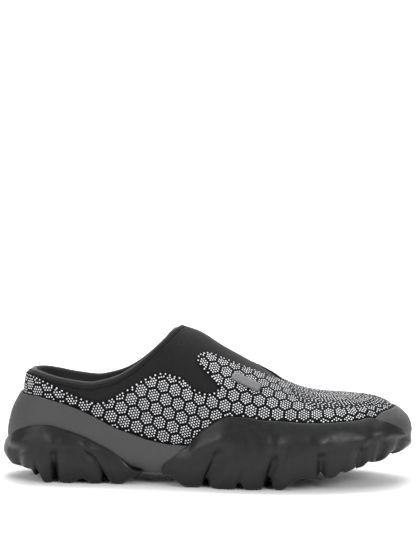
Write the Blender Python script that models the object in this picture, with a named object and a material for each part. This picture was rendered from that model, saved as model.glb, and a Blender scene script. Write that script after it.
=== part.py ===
"""Slip-on sneaker, a right shoe, standing empty on its sole.

A knitted foam bootie (the upper) stands in a foam midsole, which is shod with two
sculpted rubber pods. A dotted mesh layer lies over the upper, and a rolled lining
edge stands above its collar.

Shoe axes: x runs from the back of the heel to the toe, y to the wearer's inside,
z up from the floor. Every piece is made in these axes, and leaves them through
place(), which bends the sole line and puts the origin under the shoe's centre.

A station is a place u along the sole's edge, as seen from the side: 0 at the back
of the heel and LENGTH at the toe. Girth v runs up the upper at a station: -1 at the
feather edge, 0 at the widest level and a quarter turn on the centre line.
"""
import math
from bisect import bisect_right

import bmesh
import bpy
import numpy as np
from mathutils import Vector
from mathutils.geometry import delaunay_2d_cdt

# Driving dimensions, in metres
LENGTH = 0.302
BALL_WIDTH = 0.0965
HEEL_WIDTH = 0.064
INSTEP_HEIGHT = 0.1130
TOE_HEIGHT = 0.0617
HEEL_HEIGHT = 0.0786
COLLAR_DIP = 0.0709
BED_HEIGHT = 0.0216
CUP_HEIGHT = 0.0628
HEEL_WRAP = 0.0427
FOREFOOT_WRAP = 0.0521
SLAB = 0.0121
TREAD_CUT = 0.0099
TOE_SPRING = 0.0221
SWING = 0.008

# Walls and thicknesses, in metres
UPPER_WALL = 0.0026
MESH_WALL = 0.0008
RIM_WALL = 0.0020
LINING_WALL = 0.0016
INSOLE_THICKNESS = 0.0035
RUBBER_EDGE = 0.0011
SIDE_CUT = 0.0045
SOLE_FLARE = 0.0065
FEATHER_TUCK = 0.0025
CHAMFER = 0.0025
ROLL_RADIUS = 0.0016
LINING_DEPTH = 0.0060
MESH_TUCK = 0.0080
TAB_LENGTH = 0.023
TAB_WIDTH = 0.0080
TAB_THICKNESS = 0.0010

# Clearances between pieces, in metres
FIT = 0.00035
LAYER_FIT = 0.0005
LINING_FIT = 0.0006

QUARTER = math.pi / 2
TINY = 1e-9
LATERAL, MEDIAL = -1, 1
SIDES = (LATERAL, MEDIAL)

# Where the outline turns round the heel and the toe, as shares of the length
HEEL_FAN = 0.149 * LENGTH
TOE_FAN = 0.702 * LENGTH
BACK = 0.050 * LENGTH
TIP = 0.967 * LENGTH
SWING_FROM = 0.3
SPINE_REACH = 0.5
SPINE_SPREAD = 0.3
TOE_SQUARE = 0.92

# Half widths of the upper at its widest level: x by length, then each side's share
# of the local width, which goes from the heel's to the ball's between BLEND rows
BLEND = (0.15, 0.66)
WIDTHS = (
    # x, lateral, medial
    (0.126, 0.500, 0.500),
    (0.225, 0.500, 0.478),
    (0.331, 0.465, 0.412),
    (0.436, 0.472, 0.404),
    (0.497, 0.485, 0.427),
    (0.579, 0.500, 0.447),
    (0.662, 0.508, 0.482),
    (0.712, 0.508, 0.492),
)
# Centre line of the form: share of the rise from toe height to instep height
RIDGE = (
    # x, rise
    (0.050, 0.64),
    (0.126, 0.79),
    (0.225, 0.905),
    (0.331, 1.02),
    (0.390, 1.095),
    (0.418, 1.057),
    (0.441, 1.0),
    (0.480, 0.922),
    (0.539, 0.709),
    (0.597, 0.516),
    (0.656, 0.304),
    (0.685, 0.195),
    (0.714, 0.113),
    (0.743, 0.054),
    (0.773, 0.024),
    (0.831, 0.0),
)
# Collar edge: share of the rise from the dip to the heel or, past the dip, the throat
COLLAR = (
    # x, rise
    (0.050, 1.0),
    (0.083, 0.91),
    (0.115, 0.69),
    (0.176, 0.22),
    (0.225, 0.0),
    (0.261, 0.045),
    (0.298, 0.135),
    (0.334, 0.298),
    (0.371, 0.525),
    (0.395, 0.692),
    (0.412, 0.810),
    (0.4275, 0.935),
    (0.441, 1.0),
)
DIP_AT = 0.225
# Section of the form: height of the widest level by toe height, squareness of the arch
SECTIONS = (
    # x, widest, square
    (0.050, 0.669, 2.0),
    (0.250, 0.652, 2.0),
    (0.436, 0.631, 2.0),
    (0.563, 0.600, 2.05),
    (0.680, 0.590, 2.4),
    (0.800, 0.621, 3.0),
    (0.967, 0.669, 3.3),
)
# Footbed: share of the bed height
BED = (
    # x, height
    (0.050, 1.27),
    (0.200, 1.27),
    (0.331, 1.22),
    (0.500, 1.05),
    (0.640, 0.96),
    (0.728, 1.00),
    (0.828, 1.18),
    (0.910, 1.42),
    (0.967, 1.62),
)
# Upper edge of the foam: share of the cup height, in view at heel, waist and toe
RIM = (
    # x, height
    (0.050, 1.0),
    (0.097, 1.0),
    (0.139, 0.955),
    (0.188, 0.885),
    (0.237, 0.790),
    (0.295, 0.650),
    (0.334, 0.590),
    (0.376, 0.527),
    (0.430, 0.485),
    (0.475, 0.480),
    (0.505, 0.530),
    (0.530, 0.620),
    (0.570, 0.680),
    (0.630, 0.680),
    (0.760, 0.600),
    (0.850, 0.620),
    (0.890, 0.700),
    (0.915, 0.790),
    (0.935, 0.845),
    (0.967, 0.865),
)
# Side of the foam: how far it stands out of the form, by the flare
FOAM_SIDE = (
    # x, foot, belly, belly height by cup height
    (0.000, 0.90, 1.85, 0.52),
    (0.066, 0.60, 1.22, 0.52),
    (0.149, 0.22, 0.70, 0.52),
    (0.248, 0.22, 0.76, 0.44),
    (0.331, 0.30, 0.76, 0.34),
    (0.384, 0.30, 0.76, 0.31),
    (0.447, 0.30, 0.76, 0.31),
    (0.530, 0.15, 0.50, 0.41),
    (0.662, 0.08, 0.47, 0.47),
    (0.795, 0.08, 0.47, 0.50),
    (0.894, 0.00, 0.85, 0.56),
    (0.944, 0.00, 1.30, 0.59),
    (1.000, 0.00, 1.50, 0.575),
)
# Underside of the foam: share of the slab under it
FOAM_UNDER = (
    # x, lift
    (0.000, 1.12),
    (0.075, 1.10),
    (0.110, 1.00),
    (0.285, 1.00),
    (0.318, 0.94),
    (0.357, 0.81),
    (0.365, 0.72),
    (0.409, 0.70),
    (0.4125, 0.79),
    (0.425, 0.84),
    (0.450, 0.93),
    (0.500, 1.00),
    (0.700, 1.00),
    (0.850, 0.80),
    (0.950, 0.55),
    (1.000, 0.45),
)
FOAM_STEPS = (0.357, 0.365, 0.409, 0.4125)
CLIMB_SHARE = 0.45
# Lift of the tread's base line towards the toe: share of the toe spring
LIFT = (
    # x, lift
    (0.680, 0.0),
    (0.729, 0.11),
    (0.762, 0.22),
    (0.810, 0.35),
    (0.845, 0.53),
    (0.894, 0.67),
    (0.944, 0.88),
    (0.980, 1.0),
)
# Side of the rubber: how far it stands out of the form, by the flare
RUBBER_SIDE = (
    # x, edge, belly, belly height by cup height
    (0.000, 1.30, 2.33, 0.32),
    (0.066, 1.05, 1.78, 0.32),
    (0.149, 0.80, 1.34, 0.31),
    (0.248, 0.70, 1.22, 0.28),
    (0.310, 0.55, 1.00, 0.20),
    (0.345, 0.30, 0.80, 0.18),
    (0.357, 0.15, 0.70, 0.17),
    (0.4125, 0.45, 0.92, 0.20),
    (0.470, 0.68, 1.14, 0.33),
    (0.530, 0.76, 1.24, 0.38),
    (0.662, 0.80, 1.25, 0.38),
    (0.795, 0.78, 1.28, 0.42),
    (0.910, 0.64, 1.38, 0.50),
    (0.967, 0.30, 1.50, 0.50),
    (1.000, 0.15, 1.48, 0.47),
)
# Top edge of each rubber pod: share of its wrap height
HEEL_SEAM = (
    # x, height
    (0.000, 0.66),
    (0.009, 0.69),
    (0.025, 0.81),
    (0.046, 0.91),
    (0.074, 0.97),
    (0.108, 1.0),
    (0.132, 0.99),
    (0.161, 0.945),
    (0.188, 0.89),
    (0.220, 0.815),
    (0.254, 0.695),
    (0.282, 0.59),
    (0.307, 0.46),
    (0.327, 0.35),
    (0.344, 0.28),
    (0.357, 0.265),
)
FOREFOOT_SEAM = (
    # x, height
    (0.4125, 0.26),
    (0.4145, 0.30),
    (0.432, 0.39),
    (0.448, 0.46),
    (0.460, 0.535),
    (0.4725, 0.58),
    (0.4844, 0.665),
    (0.500, 0.775),
    (0.521, 0.86),
    (0.541, 0.94),
    (0.561, 0.985),
    (0.585, 1.0),
    (0.619, 0.99),
    (0.651, 0.96),
    (0.682, 0.95),
    (0.724, 0.935),
    (0.773, 0.92),
    (0.813, 0.92),
    (0.853, 0.93),
    (0.894, 0.94),
    (0.925, 0.965),
    (0.947, 0.93),
    (0.984, 0.765),
    (0.994, 0.69),
    (1.000, 0.64),
)
# Lines that run across each pod and up its side, along its lugs and cuts. Foot and
# head are places by length, cut is by the tread cut, top is the height by wrap where
# the side smooths out, and side is the share of the side cut.
HEEL_LINES = (
    # foot, cut, head, top, side
    (0.000, 1.10, 0.000, 0.57, 0.0),
    (0.002, 1.10, 0.004, 0.57, 0.0),
    (0.006, 1.10, 0.012, 0.58, 0.0),
    (0.011, 1.10, 0.020, 0.58, 0.0),
    (0.017, 1.11, 0.028, 0.59, 0.35),
    (0.027, 1.22, 0.047, 0.59, 1.0),
    (0.040, 0.92, 0.064, 0.61, 0.4),
    (0.062, 0.90, 0.082, 0.62, 0.0),
    (0.088, 0.90, 0.098, 0.62, 0.0),
    (0.112, 0.00, 0.113, 0.62, 0.0),
    (0.130, 0.00, 0.129, 0.61, 0.45),
    (0.143, 1.00, 0.144, 0.58, 1.0),
    (0.157, 0.00, 0.158, 0.61, 0.45),
    (0.182, 0.00, 0.178, 0.62, 0.0),
    (0.212, 0.34, 0.196, 0.62, 0.1),
    (0.237, 0.00, 0.208, 0.61, 0.15),
    (0.255, 0.00, 0.219, 0.60, 0.45),
    (0.267, 0.92, 0.230, 0.56, 1.0),
    (0.282, 0.00, 0.242, 0.55, 0.35),
    (0.303, 0.00, 0.261, 0.50, 0.0),
    (0.320, 0.25, 0.286, 0.42, 0.0),
    (0.334, 0.52, 0.311, 0.33, 0.0),
    (0.346, 0.73, 0.334, 0.25, 0.0),
    (0.357, 0.83, 0.357, 0.20, 0.0),
)
FOREFOOT_LINES = (
    # foot, cut, head, top, side
    (0.4125, 0.79, 0.4125, 0.22, 0.0),
    (0.425, 0.77, 0.424, 0.27, 0.0),
    (0.440, 0.52, 0.442, 0.34, 0.0),
    (0.452, 0.22, 0.458, 0.41, 0.0),
    (0.466, 0.05, 0.476, 0.48, 0.0),
    (0.487, 0.05, 0.515, 0.54, 0.2),
    (0.502, 0.10, 0.538, 0.56, 0.5),
    (0.514, 0.62, 0.556, 0.58, 1.0),
    (0.530, 0.00, 0.578, 0.57, 0.5),
    (0.552, 0.00, 0.598, 0.57, 0.0),
    (0.580, 0.00, 0.620, 0.57, 0.0),
    (0.597, 0.46, 0.635, 0.56, 0.12),
    (0.614, 0.00, 0.649, 0.55, 0.0),
    (0.632, 0.00, 0.661, 0.54, 0.1),
    (0.648, 0.06, 0.672, 0.54, 0.45),
    (0.664, 0.85, 0.684, 0.50, 1.0),
    (0.679, 0.05, 0.697, 0.54, 0.45),
    (0.699, 0.00, 0.713, 0.56, 0.0),
    (0.722, 0.30, 0.731, 0.56, 0.0),
    (0.748, 0.50, 0.750, 0.56, 0.1),
    (0.772, 0.22, 0.768, 0.56, 0.1),
    (0.784, 0.12, 0.781, 0.55, 0.45),
    (0.798, 0.62, 0.795, 0.53, 1.0),
    (0.813, 0.10, 0.812, 0.58, 0.45),
    (0.832, 0.02, 0.831, 0.60, 0.0),
    (0.848, 0.20, 0.847, 0.60, 0.0),
    (0.862, 0.03, 0.862, 0.61, 0.0),
    (0.882, 0.08, 0.882, 0.61, 0.45),
    (0.897, 0.34, 0.897, 0.59, 1.0),
    (0.909, 0.08, 0.911, 0.64, 0.4),
    (0.926, 0.00, 0.927, 0.66, 0.3),
    (0.943, 0.30, 0.945, 0.66, 1.0),
    (0.955, 0.05, 0.957, 0.68, 0.35),
    (0.968, 0.04, 0.969, 0.69, 0.3),
    (0.979, 0.26, 0.979, 0.69, 0.9),
    (0.987, 0.02, 0.987, 0.66, 0.35),
    (0.993, 0.00, 0.993, 0.62, 0.0),
    (0.998, 0.00, 0.998, 0.58, 0.0),
    (1.000, 0.00, 1.000, 0.57, 0.0),
)
# The bars of the tread fan out past these places, by the length
HEEL_PIVOT = 0.100
TOE_PIVOT = 0.868
BAR_SPREAD = 0.25
# Top edge of the mesh layer: x by length, height by the girth from rim to collar
MESH_EDGE = (
    # x, girth
    (0.050, 0.870),
    (0.076, 0.880),
    (0.110, 0.800),
    (0.129, 0.745),
    (0.153, 0.650),
    (0.178, 0.545),
    (0.201, 0.492),
    (0.239, 0.450),
    (0.259, 0.499),
    (0.280, 0.592),
    (0.317, 0.740),
    (0.345, 0.795),
    (0.372, 0.800),
    (0.391, 0.778),
    (0.411, 0.728),
    (0.433, 0.612),
    (0.452, 0.535),
    (0.473, 0.498),
    (0.495, 0.447),
    (0.513, 0.375),
    (0.529, 0.315),
    (0.540, 0.350),
    (0.537, 0.400),
    (0.517, 0.488),
    (0.503, 0.568),
    (0.488, 0.632),
    (0.489, 0.680),
    (0.503, 0.705),
    (0.522, 0.695),
    (0.553, 0.703),
    (0.600, 0.745),
    (0.645, 0.840),
    (0.672, 0.940),
    (0.686, 1.000),
)
# Middle of the side tab, by length and by girth from rim to crest
TAB_AT = (0.607, 0.505)
# Rows of the upper's wall and dome, height of its rounded edge by the wall, and the
# turns at which the roll's section has its points
WALL_ROWS = 2
DOME_ROWS = 7
# Rows of a lug's side between its foot and its top: share of the way, share of the cut
SIDE_LEVELS = ((0.0, 1.0), (0.4, 1.0), (0.8, 0.8), (1.0, 0.0))
LIP_SHARE = 0.3
ROLL_ANGLES = (-35, 15, 65, 115, 165, 215)


def curve(rows, column, at):
    """Smooth curve through one column of a table, which never overshoots its rows."""
    xs = [row[0] for row in rows]
    ys = [row[column] for row in rows]
    if at <= xs[0]:
        return ys[0]
    if at >= xs[-1]:
        return ys[-1]

    def secant(k):
        return (ys[k + 1] - ys[k]) / (xs[k + 1] - xs[k])

    def slope(k):
        if k == 0:
            return secant(0)
        if k == len(xs) - 1:
            return secant(k - 1)
        before, after = secant(k - 1), secant(k)
        if before * after <= 0:
            return 0.0
        return 2 * before * after / (before + after)

    i = bisect_right(xs, at) - 1
    run = xs[i + 1] - xs[i]
    s = (at - xs[i]) / run
    rise = ys[i] * (1 + 2 * s) * (1 - s) ** 2 + ys[i + 1] * s * s * (3 - 2 * s)
    return rise + run * (slope(i) * s * (1 - s) ** 2 - slope(i + 1) * s * s * (1 - s))


def ease(share):
    """Smooth step from 0 to 1."""
    s = min(max(share, 0.0), 1.0)
    return s * s * (3 - 2 * s)


def mix(low, high, share):
    return low + (high - low) * share


def half_width(x, side):
    """Half width of the form at its widest level."""
    at = x / LENGTH
    local = mix(HEEL_WIDTH, BALL_WIDTH, ease((at - BLEND[0]) / (BLEND[1] - BLEND[0])))
    return local * curve(WIDTHS, 1 if side == LATERAL else 2, at)


def fan_share(share):
    """How far the spine has come, at this share of the turn round heel or toe."""
    return SPINE_SPREAD * share + (1 - SPINE_SPREAD) * share**4


def plan(u, side):
    """Outline of the form at a station: its point, its outward direction, its spine x."""
    if u < HEEL_FAN:
        turn = math.acos(1 - max(u, 0.0) / HEEL_FAN)
        reach = HEEL_FAN - BACK
        half = half_width(HEEL_FAN, side)
        x = HEEL_FAN - reach * math.cos(turn)
        y = half * math.sin(turn)
        run, spread = reach * math.sin(turn), half * math.cos(turn)
        spine = HEEL_FAN - reach * SPINE_REACH * (1 - fan_share(turn / QUARTER))
    elif u > TOE_FAN:
        turn = math.asin(min((u - TOE_FAN) / (LENGTH - TOE_FAN), 1.0))
        reach = TIP - TOE_FAN
        half = half_width(TOE_FAN, side)
        x = TOE_FAN + reach * math.sin(turn)
        across = max(math.cos(turn), 1e-9)
        y = half * across**TOE_SQUARE
        run = reach * across
        spread = -TOE_SQUARE * half * across ** (TOE_SQUARE - 1) * math.sin(turn)
        spine = TOE_FAN + reach * SPINE_REACH * (1 - fan_share(1 - turn / QUARTER))
    else:
        x = spine = u
        y = half_width(u, side)
        step = LENGTH / 1000
        run = 2 * step
        spread = half_width(u + step, side) - half_width(u - step, side)
    if u < TINY or u > LENGTH - TINY:
        y, run = 0.0, 0.0
    size = math.hypot(run, spread)
    return x, side * y, -spread / size, side * run / size, spine


def station_at(x):
    """Station whose outline point lies at x."""
    if x < HEEL_FAN:
        return HEEL_FAN * max(0.0, 1 - (HEEL_FAN - x) / (HEEL_FAN - BACK))
    if x > TOE_FAN:
        return TOE_FAN + (LENGTH - TOE_FAN) * min(1.0, (x - TOE_FAN) / (TIP - TOE_FAN))
    return x


def ridge(x):
    """Height of the form's centre line."""
    return mix(TOE_HEIGHT, INSTEP_HEIGHT, curve(RIDGE, 1, x / LENGTH))


def widest(x):
    """Height of the form's widest level."""
    return TOE_HEIGHT * curve(SECTIONS, 1, x / LENGTH)


def bed(x):
    """Height of the footbed."""
    return BED_HEIGHT * curve(BED, 1, x / LENGTH)


def feather(x):
    """Height of the upper's lower edge, just clear of the footbed."""
    return bed(x) + FIT


def form(u, side, v, out=0.0):
    """Point of the upper's form at station u and girth v, moved outwards."""
    x, y, nx, ny, spine = plan(u, side)
    level = widest(x)
    if v <= 0:
        reach = out - FEATHER_TUCK * v * v
        return Vector((x + nx * reach, y + ny * reach, level + v * (level - feather(x))))
    square = curve(SECTIONS, 2, x / LENGTH)
    step = LENGTH / 1000
    lean = (ridge(spine + step) - ridge(spine - step)) / (2 * step)
    crown = ridge(spine) + out * math.hypot(1, lean)
    turn = min(v, QUARTER)
    across = max(math.cos(turn), 0.0) ** (2 / square)
    if turn > QUARTER - TINY:
        across = 0.0
    return Vector((
        spine + across * (x + nx * out - spine),
        across * (y + ny * out),
        level + (crown - level) * math.sin(turn),
    ))


def girth_at(u, z, out=0.0):
    """Girth of the form's point at height z of a station."""
    x, _, _, _, spine = plan(u, LATERAL)
    level = widest(x)
    if z <= level:
        return (z - level) / (level - feather(x))
    step = LENGTH / 1000
    lean = (ridge(spine + step) - ridge(spine - step)) / (2 * step)
    crown = ridge(spine) + out * math.hypot(1, lean)
    return math.asin(min((z - level) / (crown - level), 1.0))


def collar(x):
    """Height of the collar edge."""
    top = HEEL_HEIGHT if x < DIP_AT * LENGTH else INSTEP_HEIGHT
    return mix(COLLAR_DIP, top, curve(COLLAR, 1, x / LENGTH))


THROAT = COLLAR[-1][0] * LENGTH


def collar_girth(u):
    """Girth of the collar edge at a station, or of the centre line past the throat."""
    if u > THROAT - TINY:
        return QUARTER
    low, high = 0.0, QUARTER
    for _ in range(40):
        middle = (low + high) / 2
        point = form(u, LATERAL, middle)
        if point.z < collar(point.x):
            low = middle
        else:
            high = middle
    return (low + high) / 2


def rim(x):
    """Height of the foam's upper edge."""
    return CUP_HEIGHT * curve(RIM, 1, x / LENGTH)


def lift(x):
    """Height of the tread's base line over the floor."""
    return TOE_SPRING * curve(LIFT, 1, x / LENGTH)


def foam_under(x):
    """Height of the foam's underside."""
    return lift(x) + SLAB * curve(FOAM_UNDER, 1, x / LENGTH)


def swing(x):
    """Sideways bend of the shoe towards the wearer's inside, from the waist forward."""
    return SWING * (max(0.0, x / LENGTH - SWING_FROM) / (1 - SWING_FROM)) ** 2


def reach_of(side):
    """How far the rubber reaches to one side, over the whole sole."""
    stations = [LENGTH * k / 60 for k in range(61)]
    return max(
        side * (plan(u, side)[1] + swing(u)) + SOLE_FLARE * curve(RUBBER_SIDE, 2, u / LENGTH)
        for u in stations
    )


MIDDLE = (reach_of(MEDIAL) - reach_of(LATERAL)) / 2


def place(point):
    """Shoe axes to the part's own: the sole line bent, the origin under the centre."""
    x, y, z = point
    return Vector((x - LENGTH / 2, y + swing(x) - MIDDLE, z))


def fan_stations(count, heel):
    """Stations at even turns round the heel or the toe."""
    turns = [QUARTER * k / count for k in range(count + 1)]
    if heel:
        return [HEEL_FAN * (1 - math.cos(turn)) for turn in turns]
    return [TOE_FAN + (LENGTH - TOE_FAN) * math.sin(turn) for turn in turns]


def even(start, end, count):
    return [mix(start, end, k / count) for k in range(count + 1)]


def upper_stations():
    """Stations of the upper, closer together towards the throat."""
    rear = [THROAT - (THROAT - HEEL_FAN) * (1 - k / 12) ** 1.6 for k in range(13)]
    return (
        fan_stations(6, True)[:-1]
        + rear[:-1]
        + even(THROAT, TOE_FAN, 9)[:-1]
        + fan_stations(9, False)
    )


def sole_stations():
    """Stations of the midsole and insole, with one at each step of the foam's underside."""
    steps = [LENGTH * share for share in FOAM_STEPS]
    climb = steps[3] + (TOE_FAN - steps[3]) * CLIMB_SHARE
    return (
        fan_stations(6, True)[:-1]
        + even(HEEL_FAN, steps[0], 7)[:-1]
        + steps[:3]
        + even(steps[3], climb, 7)[:-1]
        + even(climb, TOE_FAN, 4)[:-1]
        + fan_stations(9, False)
    )


def make_object(name, points, faces, color, roughness, metallic=0.0, smooth=40):
    """A closed solid with its own material, faces outward, in the part's own axes."""
    mesh = bpy.data.meshes.new(name)
    mesh.from_pydata([place(point) for point in points], [], faces)
    bm = bmesh.new()
    bm.from_mesh(mesh)
    bmesh.ops.remove_doubles(bm, verts=bm.verts[:], dist=FIT / 50)
    bmesh.ops.dissolve_degenerate(bm, edges=bm.edges[:], dist=FIT / 100)
    bmesh.ops.triangulate(bm, faces=bm.faces[:])
    bmesh.ops.recalc_face_normals(bm, faces=bm.faces[:])
    if bm.calc_volume(signed=True) < 0:
        bmesh.ops.reverse_faces(bm, faces=bm.faces[:])
    bm.to_mesh(mesh)
    bm.free()
    mesh.shade_smooth()
    mesh.set_sharp_from_angle(angle=math.radians(smooth))
    material = bpy.data.materials.new(name)
    material.use_nodes = True
    shader = material.node_tree.nodes["Principled BSDF"]
    shader.inputs["Base Color"].default_value = (*color, 1)
    shader.inputs["Roughness"].default_value = roughness
    shader.inputs["Metallic"].default_value = metallic
    mesh.materials.append(material)
    made = bpy.data.objects.new(name, mesh)
    bpy.context.collection.objects.link(made)
    return made


def skin(first, stations, size):
    """Triangles of a skin with a column of points at each station, from the first index.

    Their diagonals turn at the waist and halfway up, so none folds flat at heel or toe.
    """
    faces = []
    for i in range(len(stations) - 1):
        for k in range(size - 1):
            a = first + i * size + k
            if (stations[i] < FOAM_STEPS[1] * LENGTH) == (k < size // 2):
                faces.append((a, a + 1, a + size + 1))
                faces.append((a, a + size + 1, a + size))
            else:
                faces.append((a, a + 1, a + size))
                faces.append((a + 1, a + size + 1, a + size))
    return faces


def weld_halves(stations, profile):
    """Points and faces of a solid whose lateral and medial halves meet on the middle line.

    The profile gives the same run of points at every station of a side, from the middle
    line below to the middle line above.
    """
    points, faces = [], []
    for side in SIDES:
        sections = [profile(u, side) for u in stations]
        faces.extend(skin(len(points), stations, len(sections[0])))
        points.extend(point for section in sections for point in section)
    return points, faces


def upper_rows(u):
    """Girths of the upper's rows at a station, from the feather edge to the top."""
    top = collar_girth(u)
    wall = [-1 + k / WALL_ROWS for k in range(WALL_ROWS)]
    return wall + [top * k / DOME_ROWS for k in range(DOME_ROWS + 1)]


def collar_loop():
    """Stations and sides round the collar: down the outside, round the heel and back."""
    rear = [u for u in upper_stations() if u < THROAT + TINY]
    return [(u, LATERAL) for u in reversed(rear)] + [(u, MEDIAL) for u in rear[1:-1]]


def outward_normal(u, side, v):
    """Direction straight out of the form at a station and girth."""
    step = LENGTH / 1000
    if u < step:
        along = form(step, MEDIAL, v) - form(step, LATERAL, v)
    else:
        along = form(u + step, side, v) - form(u - step, side, v)
    here = form(u, side, v)
    normal = along.cross(here - form(u, side, v - 0.01)).normalized()
    x, _, _, _, spine = plan(u, side)
    core = Vector((spine, 0.0, widest(x)))
    return normal if normal.dot(here - core) > 0 else -normal


def collar_frames():
    """For each place round the collar: its point, and directions inward and beyond the edge."""
    loop = collar_loop()
    edge = [form(u, side, collar_girth(u)) for u, side in loop]
    frames = {}
    for i, (u, side) in enumerate(loop):
        along = (edge[(i + 1) % len(loop)] - edge[i - 1]).normalized()
        outward = outward_normal(u, side, collar_girth(u))
        outward = (outward - along * outward.dot(along)).normalized()
        frames[(u, side)] = (edge[i], -outward, along.cross(outward))
    frames[(loop[0][0], MEDIAL)] = frames[loop[0]]
    frames[(0.0, MEDIAL)] = frames[(0.0, LATERAL)]
    return frames


def make_upper():
    """The knitted foam bootie: one wall, open at the collar and underneath."""
    stations = upper_stations()
    frames = collar_frames()
    throat = min(range(len(stations)), key=lambda i: abs(stations[i] - THROAT))
    rows = WALL_ROWS + DOME_ROWS + 1
    points, faces = [], []

    def add_skin(side, out):
        start = len(points)
        for u in stations:
            points.extend(form(u, side, v, out) for v in upper_rows(u))
        for i in range(len(stations) - 1):
            for k in range(rows - 1):
                a = start + i * rows + k
                faces.append((a, a + 1, a + rows + 1, a + rows))
        return start

    for side in SIDES:
        outer = add_skin(side, 0.0)
        inner = add_skin(side, -UPPER_WALL)
        lip = len(points)
        for u in stations[:throat + 1]:
            edge, inward, beyond = frames[(u, side)]
            half = UPPER_WALL / 2
            points.append(edge + inward * half + beyond * UPPER_WALL * LIP_SHARE)
        for i in range(len(stations) - 1):
            a, b = outer + i * rows, inner + i * rows
            faces.append((a, a + rows, b + rows, b))
            if i < throat:
                top_out, top_in, edge = a + rows - 1, b + rows - 1, lip + i
                faces.append((top_out, top_out + rows, edge + 1, edge))
                faces.append((edge, edge + 1, top_in + rows, top_in))
    return make_object("upper", points, faces, (0.022, 0.023, 0.025), 0.85)


def slide(u, side, v, move):
    """Station and girth reached from a point of the form by a short move along it."""
    start = form(u, side, v)
    step = 1e-3
    for _ in range(3):
        here = form(u, side, v)
        along = (form(u + step * LENGTH, side, v) - here) / step
        upward = (here - form(u, side, v - step)) / step
        left = start + move - here
        aa, ab, bb = along.dot(along), along.dot(upward), upward.dot(upward)
        det = max(aa * bb - ab * ab, 1e-12)
        da = (bb * left.dot(along) - ab * left.dot(upward)) / det
        db = (aa * left.dot(upward) - ab * left.dot(along)) / det
        u, v = u + da * LENGTH, min(v + db, QUARTER)
    return u, v


def make_collar_roll():
    """The lining's edge: a band inside the collar, rolled over above it."""
    frames = collar_frames()
    outside = UPPER_WALL + LINING_FIT
    inside = outside + LINING_WALL
    middle = outside + LINING_WALL / 2
    loop = collar_loop()
    points, faces = [], []
    for u, side in loop:
        edge, inward, beyond = frames[(u, side)]
        top = collar_girth(u)
        lowest, middle_low, high = (
            slide(u, side, top, beyond * -LINING_DEPTH * share) for share in (1, 0.5, 0.15)
        )
        points.append(form(lowest[0], side, lowest[1], -outside))
        points.append(form(middle_low[0], side, middle_low[1], -outside))
        points.append(form(high[0], side, high[1], -outside))
        for angle in ROLL_ANGLES:
            inset = middle - ROLL_RADIUS * math.cos(math.radians(angle))
            height = ROLL_RADIUS * (1.05 + math.sin(math.radians(angle)))
            points.append(edge + inward * inset + beyond * height)
        points.append(form(middle_low[0], side, middle_low[1], -inside))
        points.append(form(lowest[0], side, lowest[1], -inside))
    size = 5 + len(ROLL_ANGLES)
    for i in range(len(loop)):
        j = (i + 1) % len(loop)
        for k in range(size):
            n = (k + 1) % size
            faces.append((i * size + k, i * size + n, j * size + n, j * size + k))
    return make_object("collar_roll", points, faces, (0.05, 0.052, 0.055), 0.8)


def spline(rows, spacing):
    """Smooth curve through places of two columns, with a point about every spacing."""
    made = []
    for i in range(len(rows) - 1):
        a, b = rows[max(i - 1, 0)], rows[i]
        c, d = rows[i + 1], rows[min(i + 2, len(rows) - 1)]
        steps = max(1, round(math.dist(b, c) / spacing))
        for k in range(steps):
            s = k / steps
            made.append(tuple(
                0.5 * (2 * b[n] + (c[n] - a[n]) * s + (2 * a[n] - 5 * b[n] + 4 * c[n] - d[n]) * s**2
                       + (3 * b[n] - a[n] - 3 * c[n] + d[n]) * s**3)
                for n in (0, 1)
            ))
    return made + [tuple(rows[-1])]


def mesh_edge(flat, unflat):
    """The mesh layer's top edge, from the heel to the centre line, as stations and girths."""
    rows = []
    for x, share in MESH_EDGE:
        u = station_at(x * LENGTH)
        low = girth_at(u, rim(plan(u, LATERAL)[0]))
        rows.append(tuple(flat(u, mix(low, collar_girth(u), share))))
    edge = [unflat(*point) for point in spline(rows, LENGTH / 50)]
    edge[0] = (0.0, edge[0][1])
    edge[-1] = (edge[-1][0], QUARTER)
    return edge


def flat_map():
    """Functions from station and girth to a flat drawing of the form, and back."""
    count = 200
    places = [LENGTH * k / count for k in range(count + 1)]
    run = [0.0]
    for k in range(count):
        steps = [
            math.dist(plan(places[k], side)[:2], plan(places[k + 1], side)[:2])
            for side in SIDES
        ]
        run.append(run[-1] + sum(steps) / 2)

    def height(v):
        return INSTEP_HEIGHT / 2 if v > 0 else TOE_HEIGHT / 3

    def flat(u, v):
        return Vector((float(np.interp(u, places, run)), v * height(v)))

    def unflat(x, y):
        return float(np.interp(x, run, places)), y / height(y)

    return flat, unflat


def inside(point, outline):
    """Whether a flat point lies inside a closed outline."""
    within = False
    for a, b in zip(outline, outline[1:] + outline[:1]):
        if (a.y > point.y) != (b.y > point.y):
            if point.x < a.x + (b.x - a.x) * (point.y - a.y) / (b.y - a.y):
                within = not within
    return within


def edge_distance(point, outline):
    """Distance from a flat point to a closed outline."""
    best = LENGTH
    for a, b in zip(outline, outline[1:] + outline[:1]):
        along = b - a
        s = min(max((point - a).dot(along) / max(along.length_squared, 1e-12), 0.0), 1.0)
        best = min(best, (point - a - along * s).length)
    return best


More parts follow.
